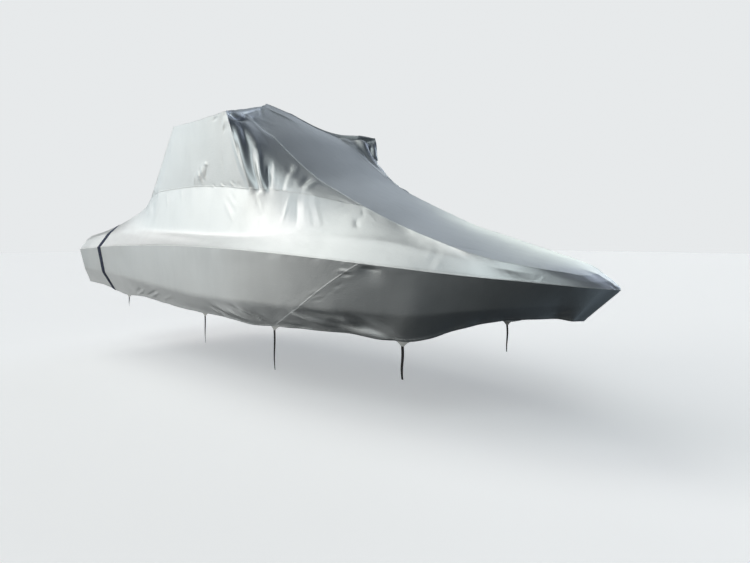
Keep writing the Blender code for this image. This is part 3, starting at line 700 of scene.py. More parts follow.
@dataclass(frozen=True)
class Form:
    """The lines and surfaces on which the cloth lies, as the solids have them."""

    def smooth(self, at: ArrayLike, values: ArrayLike, where: ArrayLike) -> Grid:
        """Reads one column of a table as a smooth curve that never overshoots its rows.

        Args:
            at: The stations of the rows.
            values: The column's value in each row.
            where: The stations to read.

        Returns:
            The value at each station read.
        """
        at = np.asarray(at, float)
        values = np.asarray(values, float)
        slope = np.diff(values) / np.diff(at)
        tangent = np.concatenate([slope[:1], np.zeros(len(at) - 2), slope[-1:]])
        same_way = slope[:-1] * slope[1:] > 0
        mean = 2 * slope[:-1] * slope[1:] / np.where(same_way, slope[:-1] + slope[1:], 1)
        tangent[1:-1] = np.where(same_way, mean, 0)
        cell = np.clip(np.searchsorted(at, where, side="right") - 1, 0, len(at) - 2)
        width = at[cell + 1] - at[cell]
        t = (where - at[cell]) / width
        rise = 3 * t**2 - 2 * t**3
        return (
            values[cell] * (1 - rise)
            + values[cell + 1] * rise
            + width * tangent[cell] * (t - 2 * t**2 + t**3)
            + width * tangent[cell + 1] * (t**3 - t**2)
        )

    def column(self, table: list, name: str, where: ArrayLike) -> Grid:
        """One column of a table at the stations."""
        at = [row.station for row in table]
        return self.smooth(at, [getattr(row, name) for row in table], where)

    def line(self, table: list[Row], where: ArrayLike) -> Grid:
        """The points of a line of the cover at the stations, on the port side."""
        where = np.asarray(where, float)
        names = ("forward", "out", "height")
        return np.stack([self.column(table, name, where) for name in names], -1)

    def tent(self, at: Grid, peak: float, softness: float) -> Grid:
        """Rises from 0 at either end to 1 at the peak, with its top rounded off."""
        up = at / peak
        down = (1 - at) / (1 - peak)
        return -softness * np.log(np.exp(-up / softness) + np.exp(-down / softness))

    def strip(self, edge: Grid, forward: Grid, height: Grid, crown: Grid, across: Grid) -> Grid:
        """Cloth laid across the boat from an edge up to the centreline and down again.

        Args:
            edge: The points of its edge, on the port side.
            forward: How far forward the centreline lies.
            height: How high the centreline lies.
            crown: How round the cloth lies between them.
            across: From -1 on the starboard edge to 1 on the port edge.

        Returns:
            The points of the cloth.
        """
        share = 1 - np.abs(across) ** crown
        return np.stack(
            [
                edge[..., 0] + (forward - edge[..., 0]) * share,
                edge[..., 1] * across,
                edge[..., 2] + (height - edge[..., 2]) * share,
            ],
            -1,
        )

    def ridged(self, table: list[Ridge], edge: Grid, where: Grid, across: Grid) -> Grid:
        """A strip whose centreline is read from a table at the stations."""
        names = ("forward", "height", "round")
        return self.strip(edge, *(self.column(table, name, where) for name in names), across)

    def deck_top(self, where: Grid) -> Grid:
        """The deck panel's upper edge: waist seam, centre seam, then the bow panel's end."""
        waist = self.line(WAIST, np.minimum(where, SEAM_JOIN))
        ahead = np.clip(where, SEAM_JOIN, BOW_FLAT)
        out = 1 - (np.clip(where, BOW_FLAT, BOW) - BOW_FLAT) / (BOW - BOW_FLAT)
        seam = self.ridged(RIDGE, self.line(CENTRE_SEAM, ahead), ahead, out)
        return np.where((where < SEAM_JOIN)[..., None], waist, seam)

    def deck(self, where: Grid, up: Grid) -> Grid:
        """The deck panel, from the gunwale up, with its soft turn at the band."""
        low = self.line(GUNWALE, where)
        high = self.deck_top(where)
        band = self.line(BAND, where) - mix(low, high, BAND_AT)
        return mix(low, high, up) + band * self.tent(up, BAND_AT, BAND_SOFTNESS)[..., None]

    def skirt_line(self, table: list[Edge], where: Grid) -> Grid:
        """The knuckle or the hem: set in from the gunwale."""
        top = self.line(GUNWALE, where)
        out = np.maximum(top[..., 1] - self.column(table, "inset", where), 0)
        forward = top[..., 0] - self.column(table, "aft", where)
        return np.stack([forward, out, self.column(table, "height", where)], -1)

    def skirt(self, where: Grid, up: Grid) -> Grid:
        """The skirts, from the hem up to the gunwale, with their turn at the knuckle."""
        low = self.skirt_line(HEM, where)
        high = self.line(GUNWALE, where)
        knuckle = self.skirt_line(KNUCKLE, where) - mix(low, high, KNUCKLE_AT)
        turn = self.tent(up, KNUCKLE_AT, KNUCKLE_SOFTNESS)[..., None]
        return mix(low, high, up) + knuckle * turn

    def slanted(self, where: Grid, up: Grid) -> Grid:
        """A station of the skirt, whose cells lean with the slanting seam."""
        aft = np.clip((where - SLANT_FREE_AFT) / (SLANT_TOP - SLANT_FREE_AFT), 0, 1)
        ahead = (SLANT_FREE_FORWARD - where) / (SLANT_FREE_FORWARD - SLANT_TOP)
        lean = np.interp(up, (0, KNUCKLE_AT, 1), (1, SLANT_AT_KNUCKLE, 0))
        lean = lean * np.minimum(aft, np.clip(ahead, 0, 1))
        return where - (SLANT_TOP - SLANT_FOOT) * lean

    def slanted_skirt(self, where: Grid, up: Grid) -> Grid:
        """The skirts, on cells that lean with the slanting seam."""
        return self.skirt(self.slanted(where, up), up)

    def seam_station(self, up: ArrayLike) -> Grid:
        """The station of the centre seam that far up the tower panel's front edge."""
        return SEAM_JOIN - (SEAM_JOIN - SEAM_TOP) * np.asarray(up, float)

    def tower(self, where: Grid, up: Grid) -> Grid:
        """The tower's side; forward of the ear it spans from the ear's fold to the seam."""
        low = self.line(WAIST, where)
        side = mix(low, self.line(ROOF_EDGE, np.minimum(where, EAR)), up)
        ahead = np.clip((where - EAR) / (SEAM_JOIN - EAR), 0, 1)
        high = self.line(CENTRE_SEAM, EAR + (SEAM_TOP - EAR) * ahead)
        foot, roof = self.line(WAIST, [EAR]), self.line(ROOF_EDGE, [EAR])
        seam = self.line(CENTRE_SEAM, self.seam_station(up))
        ends = mix(foot, self.line(WAIST, [SEAM_JOIN]), ahead)
        tops = mix(self.line(CENTRE_SEAM, [EAR]), self.line(CENTRE_SEAM, [SEAM_TOP]), ahead)
        front = mix(low, high, up) + mix(mix(foot, roof, up), seam, ahead) - mix(ends, tops, up)
        return np.where((where < EAR)[..., None], side, front)


@dataclass(frozen=True)
class Cells:
    """The fine cells of the cloth, which divide those of the solids."""

    up: int = FINE_UP
    tower: int = FINE_TOWER
    across: int = FINE_ACROSS

    def stations(self, start: float, end: float) -> Grid:
        """The stations from one place to another, with those beside sewn edges."""
        found = [np.array([SPANS[0].start])]
        for span in SPANS:
            found.append(np.linspace(span.start, span.end, span.cells * span.fine + 1)[1:])
        for seam in (STERN, TOWER_AFT, SLANT_TOP):
            for step in BESIDE_STATION:
                found.append(np.array([seam - step, seam + step]))
        every = np.unique(np.round(np.concatenate(found), 6))
        return every[(every > start - SAME_POINT) & (every < end + SAME_POINT)]

    def rows(self, table: list[float], parts: int) -> Grid:
        """A panel's rows, each cell divided in parts, with rows beside either edge."""
        found = [np.linspace(a, b, parts + 1) for a, b in zip(table, table[1:])]
        low, high = table[0], table[-1]
        found.append(np.array([low + step for step in BESIDE_ROW]))
        found.append(np.array([high - step for step in BESIDE_ROW]))
        return np.unique(np.round(np.concatenate(found), 6))


@dataclass
class Panel:
    """One panel of cloth, as a grid of points on its outer face.

    Attributes:
        name: The node that it stands for.
        grid: Its points, rows by columns.
        rims: How each of its rims is finished.
        slack: How much of the general unevenness it shows.
        flat: The width and length of the cloth it is cut from; not used.
        area: The area of the cut, in square metres; not used.
        held: How it is held; not used.
    """

    name: str
    grid: Grid
    rims: dict[Rim, Sewn]
    slack: float
    flat: tuple[float, float]
    area: float
    held: Held = Held.STRETCHED
    way: Grid = field(default_factory=lambda: np.zeros((1, 1, 3)))

    def across_rim(self, rim: Rim) -> tuple[Grid, Grid, Grid]:
        """What the cloth knows of one of its rims.

        Args:
            rim: The rim asked for.

        Returns:
            For each point of the grid its distance from the rim, the run along the rim to
            where it is level with it, and the rim's point there.
        """
        grid = self.grid
        if rim in (Rim.START, Rim.END):
            grid = np.swapaxes(grid, 0, 1)
        if rim in (Rim.HIGH, Rim.END):
            grid = grid[::-1]
        steps = np.linalg.norm(np.diff(grid, axis=0), axis=-1)
        away = np.concatenate([np.zeros((1, grid.shape[1])), np.cumsum(steps, axis=0)])
        edge = grid[0]
        lengths = np.linalg.norm(np.diff(edge, axis=0), axis=-1)
        run = np.broadcast_to(np.concatenate([[0], np.cumsum(lengths)]), away.shape)
        rim_point = np.broadcast_to(edge, grid.shape)
        if rim in (Rim.HIGH, Rim.END):
            away, run, rim_point = away[::-1], run[::-1], rim_point[::-1]
        if rim in (Rim.START, Rim.END):
            away, run = away.T, run.T
            rim_point = np.swapaxes(rim_point, 0, 1)
        return away, run, rim_point

    def nearest(self, kinds: tuple[Sewn, ...]) -> tuple[Grid, Grid]:
        """How far the nearest rim of some kinds is, and the run along it.

        Args:
            kinds: The kinds of rim that count.

        Returns:
            The distance and the run for each point; the distance is FAR where there is none.
        """
        best = np.full(self.grid.shape[:2], FAR)
        along = np.zeros_like(best)
        for rim, kind in self.rims.items():
            if kind in kinds:
                away, run, _ = self.across_rim(rim)
                nearer = away < best
                best, along = np.where(nearer, away, best), np.where(nearer, run, along)
        return best, along

    def lifted(self) -> Grid:
        """How far the cloth's own unevenness, puckers, laps and hem lift it."""
        any_rim, _ = self.nearest((Sewn.OVER, Sewn.UNDER, Sewn.HEM))
        own = RIM_SLACK + (self.slack - RIM_SLACK) * ease(any_rim, 0, SLACK_REACH)
        lift = own * sum(rise * field_.at(self.grid) for rise, field_ in UNEVEN)
        for rim, kind in self.rims.items():
            away, _, point = self.across_rim(rim)
            if kind is Sewn.HEM:
                lift += HEM_WAVE * HEM_RIPPLE.at(point) * np.exp(-away / HEM_REACH)
            else:
                for rise, reach, ripple in PUCKERS:
                    lift += rise * ripple.at(point) * np.exp(-((away / reach) ** 2))
            if kind is Sewn.OVER:
                lift += LAP_RISE * ease(away, LAP_WIDTH + LAP_EASE, LAP_WIDTH)
            if kind is Sewn.HEM:
                lift += HEM_RISE * ease(away, HEM_WIDTH + LAP_EASE, HEM_WIDTH)
        return lift


def outward(grid: Grid) -> Grid:
    """The area-weighted direction of a panel's faces at its points, facing outwards."""
    turn = np.cross(grid[1:, 1:] - grid[:-1, :-1], grid[1:, :-1] - grid[:-1, 1:])
    found = np.zeros_like(grid)
    found[:-1, :-1] += turn
    found[1:, :-1] += turn
    found[:-1, 1:] += turn
    found[1:, 1:] += turn
    core = np.zeros_like(grid)
    core[..., 0] = np.clip(grid[..., 0], *CORE_ENDS)
    core[..., 2] = CORE_HEIGHT
    return found if (found * (grid - core)).sum() > 0 else -found


def shared_ways(grids: dict[str, Grid]) -> dict[str, Grid]:
    """The way through the cloth at each point, alike where panels meet.

    Args:
        grids: The points of each panel.

    Returns:
        Directions of each panel, longer than 1 where panels meet at an angle.
    """
    points = np.concatenate([grid.reshape(-1, 3) for grid in grids.values()])
    cells = np.floor(points / SAME_POINT + OFF_BORDER).astype(np.int64)
    _, place = np.unique(cells, axis=0, return_inverse=True)
    place = place.reshape(-1)
    total = np.zeros((place.max() + 1, 3))
    own, start = {}, 0
    for name, grid in grids.items():
        here = place[start : start + grid.shape[0] * grid.shape[1]]
        start += len(here)
        sums = np.zeros_like(total)
        np.add.at(sums, here, outward(grid).reshape(-1, 3))
        sums = unit(sums)
        total += sums
        own[name] = (here, sums)
    total = unit(total)
    least = np.ones(len(total))
    for here, sums in own.values():
        least[here] = np.minimum(least[here], (total[here] * sums[here]).sum(-1))
    total /= np.clip(least, LEAST_MITRE, 1)[:, None]
    return {name: total[here].reshape(grids[name].shape) for name, (here, _) in own.items()}


def lengths_along(grid: Grid, axis: int) -> Grid:
    """The length of cloth up to each point along one axis of its grid."""
    steps = np.linalg.norm(np.diff(grid, axis=axis), axis=-1)
    first = np.zeros_like(np.take(steps, [0], axis=axis))
    return np.concatenate([first, np.cumsum(steps, axis=axis)], axis=axis)


@dataclass(frozen=True)
class SheetMaker:
    """Turns a grid of points into a closed sheet.

    Attributes:
        thickness: How thick the sheet is.
    """

    thickness: float

    def make(
        self, name: str, outer: Grid, way: Grid, finish: bpy.types.Material, **values: Grid
    ) -> bpy.types.Object:
        """Makes the sheet: a grid of cells, extruded whole.

        Args:
            name: The piece's name.
            outer: The points of its outer face, in the part's frame.
            way: The way through it at each point.
            finish: Its material.
            **values: Numbers kept at its points for the finish to read.

        Returns:
            The piece, at the origin.
        """
        rows, columns = outer.shape[:2]
        bm = bmesh.new()
        bmesh.ops.create_grid(bm, x_segments=columns - 1, y_segments=rows - 1, size=1)
        place = bm.verts.layers.int.new("place")
        inner = bm.verts.layers.int.new("inner")
        bm.verts.ensure_lookup_table()
        points = outer.reshape(-1, 3)
        for index, vertex in enumerate(bm.verts):
            vertex[place] = index
            vertex.co = points[index]
        bmesh.ops.remove_doubles(bm, verts=bm.verts, dist=SAME_POINT)
        bmesh.ops.recalc_face_normals(bm, faces=bm.faces)
        grown = bmesh.ops.extrude_face_region(bm, geom=bm.faces[:], use_keep_orig=True)
        for vertex in grown["geom"]:
            if isinstance(vertex, bmesh.types.BMVert):
                vertex[inner] = 1
        mesh = bpy.data.meshes.new(name)
        bm.to_mesh(mesh)
        bm.free()
        count = len(mesh.vertices)
        index, is_inner = np.zeros(count, np.int32), np.zeros(count, np.int32)
        mesh.attributes["place"].data.foreach_get("value", index)
        mesh.attributes["inner"].data.foreach_get("value", is_inner)
        depth = (is_inner * self.thickness)[:, None]
        placed = points[index] - way.reshape(-1, 3)[index] * depth
        mesh.vertices.foreach_set("co", placed.astype(np.float32).ravel())
        for key, value in values.items():
            stored = mesh.attributes.new(key, "FLOAT", "POINT")
            stored.data.foreach_set("value", value.reshape(-1)[index].astype(np.float32))
        corner = np.zeros(len(mesh.loops), np.int32)
        mesh.loops.foreach_get("vertex_index", corner)
        laid = np.stack([lengths_along(outer, 1), lengths_along(outer, 0)], -1).reshape(-1, 2)
        layer = mesh.uv_layers.new(name="laid")
        layer.data.foreach_set("uv", laid[index][corner].astype(np.float32).ravel())
        mesh.attributes.remove(mesh.attributes["place"])
        mesh.attributes.remove(mesh.attributes["inner"])
        return finished(name, mesh, finish)


def finished(name: str, mesh: bpy.types.Mesh, finish: bpy.types.Material) -> bpy.types.Object:
    """Faces a closed mesh outwards, shades it smooth and links its object.

    Args:
        name: The piece's name.
        mesh: Its mesh, in place.
        finish: Its material.

    Returns:
        The piece, at the origin.
    """
    bm = bmesh.new()
    bm.from_mesh(mesh)
    bmesh.ops.recalc_face_normals(bm, faces=bm.faces)
    bm.to_mesh(mesh)
    bm.free()
    mesh.shade_smooth()
    mesh.set_sharp_from_angle(angle=SHARP)
    mesh.materials.append(finish)
    piece = bpy.data.objects.new(name, mesh)
    bpy.context.scene.collection.objects.link(piece)
    return piece


class Nodes:
    """The nodes of a material or of the surroundings, added and joined in few words."""

    def __init__(self, owner: bpy.types.Material | bpy.types.World) -> None:
        """Starts with the owner's own nodes.

        Args:
            owner: What the nodes belong to.
        """
        owner.use_nodes = True
        self.owner = owner
        self.tree = owner.node_tree
        self.shader = self.tree.nodes.get("Principled BSDF")

    def add(self, kind: str, inputs: dict | None = None, **settings: object) -> bpy.types.Node:
        """Adds a node.

        Args:
            kind: Its type, without the leading ShaderNode.
            inputs: Values or outputs of other nodes for its inputs, by name or number.
            **settings: Its properties.

        Returns:
            The node.
        """
        node = self.tree.nodes.new("ShaderNode" + kind)
        for key, value in settings.items():
            setattr(node, key, value)
        for key, value in (inputs or {}).items():
            self.feed(node.inputs[key], value)
        return node

    def feed(self, socket: bpy.types.NodeSocket, value: object) -> None:
        """Joins a node's output to a socket, or sets the socket to a value."""
        if isinstance(value, bpy.types.NodeSocket):
            self.tree.links.new(value, socket)
        else:
            socket.default_value = value

    def math(self, operation: str, *values: object) -> bpy.types.NodeSocket:
        """The result of a sum of the kind named."""
        inputs = dict(enumerate(values))
        return self.add("Math", inputs, operation=operation).outputs[0]

    def number(self, name: str) -> bpy.types.NodeSocket:
        """A number kept at the piece's points."""
        return self.add("Attribute", attribute_name=name).outputs["Fac"]

    def object_place(self) -> bpy.types.NodeSocket:
        """The place on the piece, in metres."""
        return self.add("TexCoord").outputs["Object"]

    def laid_place(self) -> bpy.types.NodeSocket:
        """The place along and across the cloth as it was cut, in metres."""
        return self.add("UVMap", uv_map="laid").outputs["UV"]

    def scaled(self, vector: bpy.types.NodeSocket, by: tuple) -> bpy.types.NodeSocket:
        """A place scaled along each axis."""
        mapping = self.add("Mapping", {"Vector": vector, "Scale": by})
        return mapping.outputs["Vector"]

    def noise(self, place: bpy.types.NodeSocket, scale: float, detail: float, twist: float = 0
              ) -> bpy.types.NodeSocket:
        """A cloudy pattern from 0 to 1."""
        inputs = {"Vector": place, "Scale": scale, "Detail": detail, "Distortion": twist}
        return self.add("TexNoise", inputs).outputs["Fac"]

    def spread(self, value: object, low: float, high: float, to_low: float, to_high: float
               ) -> bpy.types.NodeSocket:
        """A value taken from one range to another and kept within it."""
        inputs = {
            "Value": value,
            "From Min": low,
            "From Max": high,
            "To Min": to_low,
            "To Max": to_high,
        }
        return self.add("MapRange", inputs, clamp=True).outputs["Result"]

    def blend(self, share: object, a: object, b: object) -> bpy.types.NodeSocket:
        """Colour a where share is 0 and colour b where it is 1."""
        node = self.add("Mix", data_type="RGBA")
        self.feed(node.inputs["Factor"], share)
        self.feed(node.inputs["A"], a)
        self.feed(node.inputs["B"], b)
        return node.outputs["Result"]

    def bump(self, height: object, distance: float, under: object = None
             ) -> bpy.types.NodeSocket:
        """A bump of the height given, over another bump.

        Args:
            height: From 0 to 1.
            distance: How high 1 stands, in metres.
            under: The bump below it.

        Returns:
            The bumped normal.
        """
        inputs = {"Height": height, "Distance": distance, "Strength": 1.0}
        if under is not None:
            inputs["Normal"] = under
        return self.add("Bump", inputs).outputs["Normal"]


def colour(red: float, green: float, blue: float) -> tuple[float, float, float, float]:
    """A colour with its alpha."""
    return (red, green, blue, 1.0)


@dataclass(frozen=True)
class ClothFinish:
    """Coated woven cloth with stitched laps.

    Attributes:
        name: The material's name.
        clean: Its colour where it is clean.
        soiled: Its colour where water and dust have run, and of painted shade by laps.
        thread: Its stitches' colour, also painted on laps as wear and highlight.
        roughness: How matt it is, from its smoothest to its roughest.
        metallic: How metallic its coating is.
    """

    name: str
    clean: tuple[float, float, float, float]
    soiled: tuple[float, float, float, float]
    thread: tuple[float, float, float, float]
    roughness: tuple[float, float]
    metallic: float

    def make(self) -> bpy.types.Material:
        """Makes the material."""
        nodes = Nodes(bpy.data.materials.new(self.name))
        place, laid = nodes.object_place(), nodes.laid_place()
        lap, run, hem = nodes.number("lap"), nodes.number("run"), nodes.number("hem")

        cloudy = nodes.noise(place, 1.6, 4.0, 0.4)
        streaks = nodes.noise(nodes.scaled(place, (3.0, 9.0, 0.8)), 2.2, 5.0, 0.3)
        soil = nodes.math("MULTIPLY", cloudy, streaks)
        soil = nodes.spread(soil, 0.18, 0.42, 0.0, 0.55)
        near_hem = nodes.spread(hem, 0.0, 0.22, 0.35, 0.0)
        soil = nodes.math("MAXIMUM", soil, nodes.math("MULTIPLY", near_hem, cloudy))
        base = nodes.blend(soil, self.clean, self.soiled)

        # Painted highlight, partly rubbed wear: each lap is painted lighter, towards the stitches'
        # colour.
        on_lap = nodes.spread(lap, LAP_WIDTH, LAP_WIDTH + LAP_EASE, 1.0, 0.0)
        base = nodes.blend(nodes.math("MULTIPLY", on_lap, LAP_WEAR_AND_HIGHLIGHT), base, self.thread)
        # Painted shade: a thin dark line just inside each lap, in the darker colour.
        shade = nodes.spread(nodes.math("ABSOLUTE", nodes.math("SUBTRACT", lap, LAP_SHADE_AT)),
                             0.0, LAP_SHADE_WIDTH, LAP_SHADE, 0.0)
        base = nodes.blend(shade, base, self.soiled)
        stitches = nodes.math("FRACT", nodes.math("DIVIDE", run, STITCH))
        stitches = nodes.math("GREATER_THAN", stitches, STITCH_GAP)
        rows = None
        for source, at in ((lap, STITCH_ROWS[0]), (lap, STITCH_ROWS[1]), (hem, HEM_STITCH)):
            off = nodes.math("ABSOLUTE", nodes.math("SUBTRACT", source, at))
            row = nodes.math("LESS_THAN", off, THREAD / 2)
            rows = row if rows is None else nodes.math("MAXIMUM", rows, row)
        stitches = nodes.math("MULTIPLY", stitches, rows)
        base = nodes.blend(stitches, base, self.thread)
        nodes.feed(nodes.shader.inputs["Base Color"], base)

        rough = nodes.noise(place, 6.0, 5.0, 0.5)
        nodes.feed(nodes.shader.inputs["Roughness"], nodes.spread(rough, 0.3, 0.7, *self.roughness))
        nodes.shader.inputs["Metallic"].default_value = self.metallic
        nodes.shader.inputs["Specular IOR Level"].default_value = 0.45

        crinkle = nodes.noise(nodes.scaled(place, (1.0, 1.0, 1.6)), 15.0, 4.0, 1.2)
        crease = nodes.math("ABSOLUTE", nodes.math("SUBTRACT", crinkle, 0.5))
        crease = nodes.spread(crease, 0.0, 0.16, 0.0, 1.0)
        normal = nodes.bump(crease, CREASE_BUMP)
        fine = nodes.noise(place, 60.0, 3.0, 0.4)
        normal = nodes.bump(fine, FINE_BUMP, normal)
        weave = None
        for axis in ("X", "Y"):
            wave = nodes.add("TexWave", {"Vector": laid, "Scale": WEAVE_SCALE, "Distortion": 0.0},
                             wave_type="BANDS", bands_direction=axis)
            weave = wave.outputs["Fac"] if weave is None else nodes.math(
                "MULTIPLY", weave, wave.outputs["Fac"])
        normal = nodes.bump(weave, WEAVE_BUMP, normal)
        normal = nodes.bump(stitches, THREAD / 2, normal)
        nodes.feed(nodes.shader.inputs["Normal"], normal)
        return nodes.owner


@dataclass(frozen=True)
class WebbingFinish:
    """Woven webbing with ribs across it.

    Attributes:
        name: The material's name.
        dark: The colour between its ribs.
        light: The colour of its ribs.
        faded: The colour where it has weathered.
        roughness: How matt it is.
    """

    name: str
    dark: tuple[float, float, float, float]
    light: tuple[float, float, float, float]
    faded: tuple[float, float, float, float]
    roughness: float

    def make(self) -> bpy.types.Material:
        """Makes the material."""
        nodes = Nodes(bpy.data.materials.new(self.name))
        place, laid = nodes.object_place(), nodes.laid_place()
        ribs = nodes.add("TexWave", {"Vector": laid, "Scale": RIB_SCALE, "Distortion": 0.6},
                         wave_type="BANDS", bands_direction="Y").outputs["Fac"]
        threads = nodes.add("TexWave", {"Vector": laid, "Scale": RIB_SCALE * 2, "Distortion": 0.3},
                            wave_type="BANDS", bands_direction="X").outputs["Fac"]
        woven = nodes.math("MULTIPLY", ribs, threads)
        base = nodes.blend(woven, self.dark, self.light)
        wear = nodes.spread(nodes.noise(place, 7.0, 4.0, 0.3), 0.45, 0.75, 0.0, 0.7)
        nodes.feed(nodes.shader.inputs["Base Color"], nodes.blend(wear, base, self.faded))
        nodes.shader.inputs["Roughness"].default_value = self.roughness
        nodes.feed(nodes.shader.inputs["Normal"], nodes.bump(woven, RIB_BUMP))
        return nodes.owner


@dataclass
class Cover:
    """The sewn cover: its panels of cloth, laid, creased and finished.

    Attributes:
        form: The lines it lies on.
        cells: Its fine cells.
        maker: What turns a panel's points into a closed sheet.
    """

    form: Form = field(default_factory=Form)
    cells: Cells = field(default_factory=Cells)
    maker: SheetMaker = field(default_factory=lambda: SheetMaker(CLOTH))
    panels: dict[str, Panel] = field(default_factory=dict)

    def side_grid(self, surface: object, start: float, end: float, rows: Grid) -> Grid:
        """A side panel's points, row by row, from its lower edge up."""
        where, up = np.meshgrid(self.cells.stations(start, end), rows)
        return surface(where, up)

    def ridged_grid(self, table: list[Ridge], edge: list[Row], where: Grid) -> Grid:
        """A panel that lies right across the boat, between the same seam on either side."""
        across, where = np.meshgrid(self.cells.rows(ACROSS, self.cells.across), where)
        return self.form.ridged(table, self.form.line(edge, where), where, across)

    def tower_rows(self) -> Grid:
        """How far up the tower its fine rows lie."""
        return self.cells.rows(TOWER_ROWS, self.cells.tower)

    def bow_grid(self) -> Grid:
        """The bow panel: from the ear to the seam's top, down the seam, to the bow."""
        ahead = (self.cells.stations(EAR, SEAM_JOIN) - EAR) / (SEAM_JOIN - EAR)
        top = EAR + (SEAM_TOP - EAR) * ahead
        down = self.form.seam_station(self.tower_rows()[::-1])
        fore = self.cells.stations(SEAM_JOIN, BOW_FLAT)
        return self.ridged_grid(RIDGE, CENTRE_SEAM, np.concatenate([top, down[1:-1], fore]))

    def aft_grid(self) -> Grid:
        """The aft panel: over the aft deck, then up the aft face of the tower."""
        across_rows = self.cells.rows(ACROSS, self.cells.across)
        across, where = np.meshgrid(across_rows, self.cells.stations(STERN, TOWER_AFT))
        deck = self.form.ridged(AFT_RIDGE, self.form.line(WAIST, where), where, across)
        across, up = np.meshgrid(across_rows, self.tower_rows()[1:])
        edge = self.form.tower(np.full_like(up, TOWER_AFT), up)
        foot, top = AFT_RIDGE[-1], RIDGE[0]
        forward = foot.forward + (top.forward - foot.forward) * up
        height = foot.height + (top.height - foot.height) * up
        crown = foot.round + (top.round - foot.round) * up
        return np.concatenate([deck, self.form.strip(edge, forward, height, crown, across)])

    def transom_grid(self, aft: Grid) -> Grid:
        """The transom panel, which hangs from the aft edges of the deck and aft panels.

        Args:
            aft: The points of the aft panel.

        Returns:
            The points of the transom panel.
        """
        deck_rows = self.cells.rows(DECK_ROWS, self.cells.up)
        side = self.form.deck(np.full(len(deck_rows), STERN), deck_rows)
        top = np.concatenate([side * MIRRORED, aft[0][1:-1], side[::-1]])
        rows = self.cells.rows(SKIRT_ROWS, self.cells.up)
        edge = self.form.slanted_skirt(np.full(len(rows), STERN), rows)
        foot, corner = edge[0], edge[-1]
        share = top[:, 1] / corner[1]
        ends = [np.full(len(top), foot[0]), foot[1] * share, np.full(len(top), foot[2])]
        grid = mix(np.stack(ends, -1)[None], top[None], rows[:, None])
        lean = edge - mix(foot, corner, rows)
        grid[..., 0] += lean[:, None, 0]
        grid[..., 1] += lean[:, None, 1] * share
        grid[..., 2] += lean[:, None, 2] * np.abs(share)
        return grid

    def cut(self) -> None:
        """Cuts every panel and lays it on the lines of the solids."""
        cells, form = self.cells, self.form
        over, under, hem = Sewn.OVER, Sewn.UNDER, Sewn.HEM
        aft = self.aft_grid()
        whole = [
            Panel("bow_panel", self.bow_grid(), self.all_round(over, under, over), 0.7,
                  (2.40, 5.60), 5.30),
            Panel("top_panel", self.ridged_grid(RIDGE, ROOF_EDGE, cells.stations(TOWER_AFT, EAR)),
                  self.all_round(over, under, over), 0.9, (2.35, 1.30), 1.80),
            Panel("aft_panel", aft, self.all_round(over, under, over), 1.2, (2.40, 3.60), 6.00),
            Panel("transom_panel", self.transom_grid(aft), self.all_round(hem, under, under), 1.2,
                  (2.50, 0.72), 1.60),
        ]
        skirt_rows = cells.rows(SKIRT_ROWS, cells.up)
        deck_rows = cells.rows(DECK_ROWS, cells.up)
        tower = self.side_grid(form.tower, TOWER_AFT, SEAM_JOIN, self.tower_rows())
        deck = self.side_grid(form.deck, STERN, BOW, deck_rows)
        aft_skirt = self.side_grid(form.slanted_skirt, STERN, SLANT_TOP, skirt_rows)
        fore_skirt = self.side_grid(form.slanted_skirt, SLANT_TOP, BOW, skirt_rows)
        for panel in whole:
            self.panels[panel.name] = panel
        for side in Side:
            turn = np.array([1.0, side.value, 1.0])
            sides = [
                Panel("tower_panel_", tower * turn,
                      {Rim.LOW: over, Rim.HIGH: under, Rim.START: under, Rim.END: under}, 0.8,
                      (3.25, 0.95), 1.95),
                Panel("deck_panel_", deck * turn,
                      {Rim.LOW: over, Rim.HIGH: under, Rim.START: over}, 0.7,
                      (7.40, 0.72), 3.70),
                Panel("aft_skirt_", aft_skirt * turn,
                      {Rim.LOW: hem, Rim.HIGH: under, Rim.START: over, Rim.END: over}, 1.5,
                      (5.60, 0.72), 3.50, Held.HUNG),
                Panel("forward_skirt_", fore_skirt * turn,
                      {Rim.LOW: hem, Rim.HIGH: under, Rim.START: under}, 1.3,
                      (2.70, 0.60), 1.30, Held.HUNG),
            ]
            for panel in sides:
                panel.name += side.label
                self.panels[panel.name] = panel

    @staticmethod
    def all_round(low: Sewn, high: Sewn, sides: Sewn) -> dict[Rim, Sewn]:
        """The rims of a panel that is finished alike on both sides."""
        return {Rim.LOW: low, Rim.HIGH: high, Rim.START: sides, Rim.END: sides}

    def grids(self) -> dict[str, Grid]:
        """The points of each panel."""
        return {name: panel.grid for name, panel in self.panels.items()}

    def crumpled(self, points: Grid) -> Grid:
        """How far the crumpled patches lift the cloth at each point."""
        lift = np.zeros(points.shape[:-1])
        for patch in CRUMPLES:
            for side in patch.sides:
                centre = np.array([patch.forward, patch.out * side, patch.height])
                away = np.linalg.norm(points - centre, axis=-1)
                lift += patch.rise * np.exp(-((away / patch.radius) ** 2))
        return lift * CRUMPLED.at(points)

    def drape(self) -> None:
        """Gives the panels their sags, folds, creases, puckers and laps, in that order."""
        flat = self.grids()
        for panel in self.panels.values():
            panel.grid = panel.grid + UP * lift_at(panel.grid, SAGS)[..., None]
        way = shared_ways(self.grids())
        for name, panel in self.panels.items():
            panel.grid = panel.grid + unit(way[name]) * lift_at(flat[name], FOLDS)[..., None]
        way = shared_ways(self.grids())
        for name, panel in self.panels.items():
            lift = lift_at(flat[name], CREASES) + self.crumpled(flat[name]) + panel.lifted()
            panel.grid = panel.grid + unit(way[name]) * lift[..., None]
        way = shared_ways(self.grids())
        for name, panel in self.panels.items():
            panel.way = way[name]

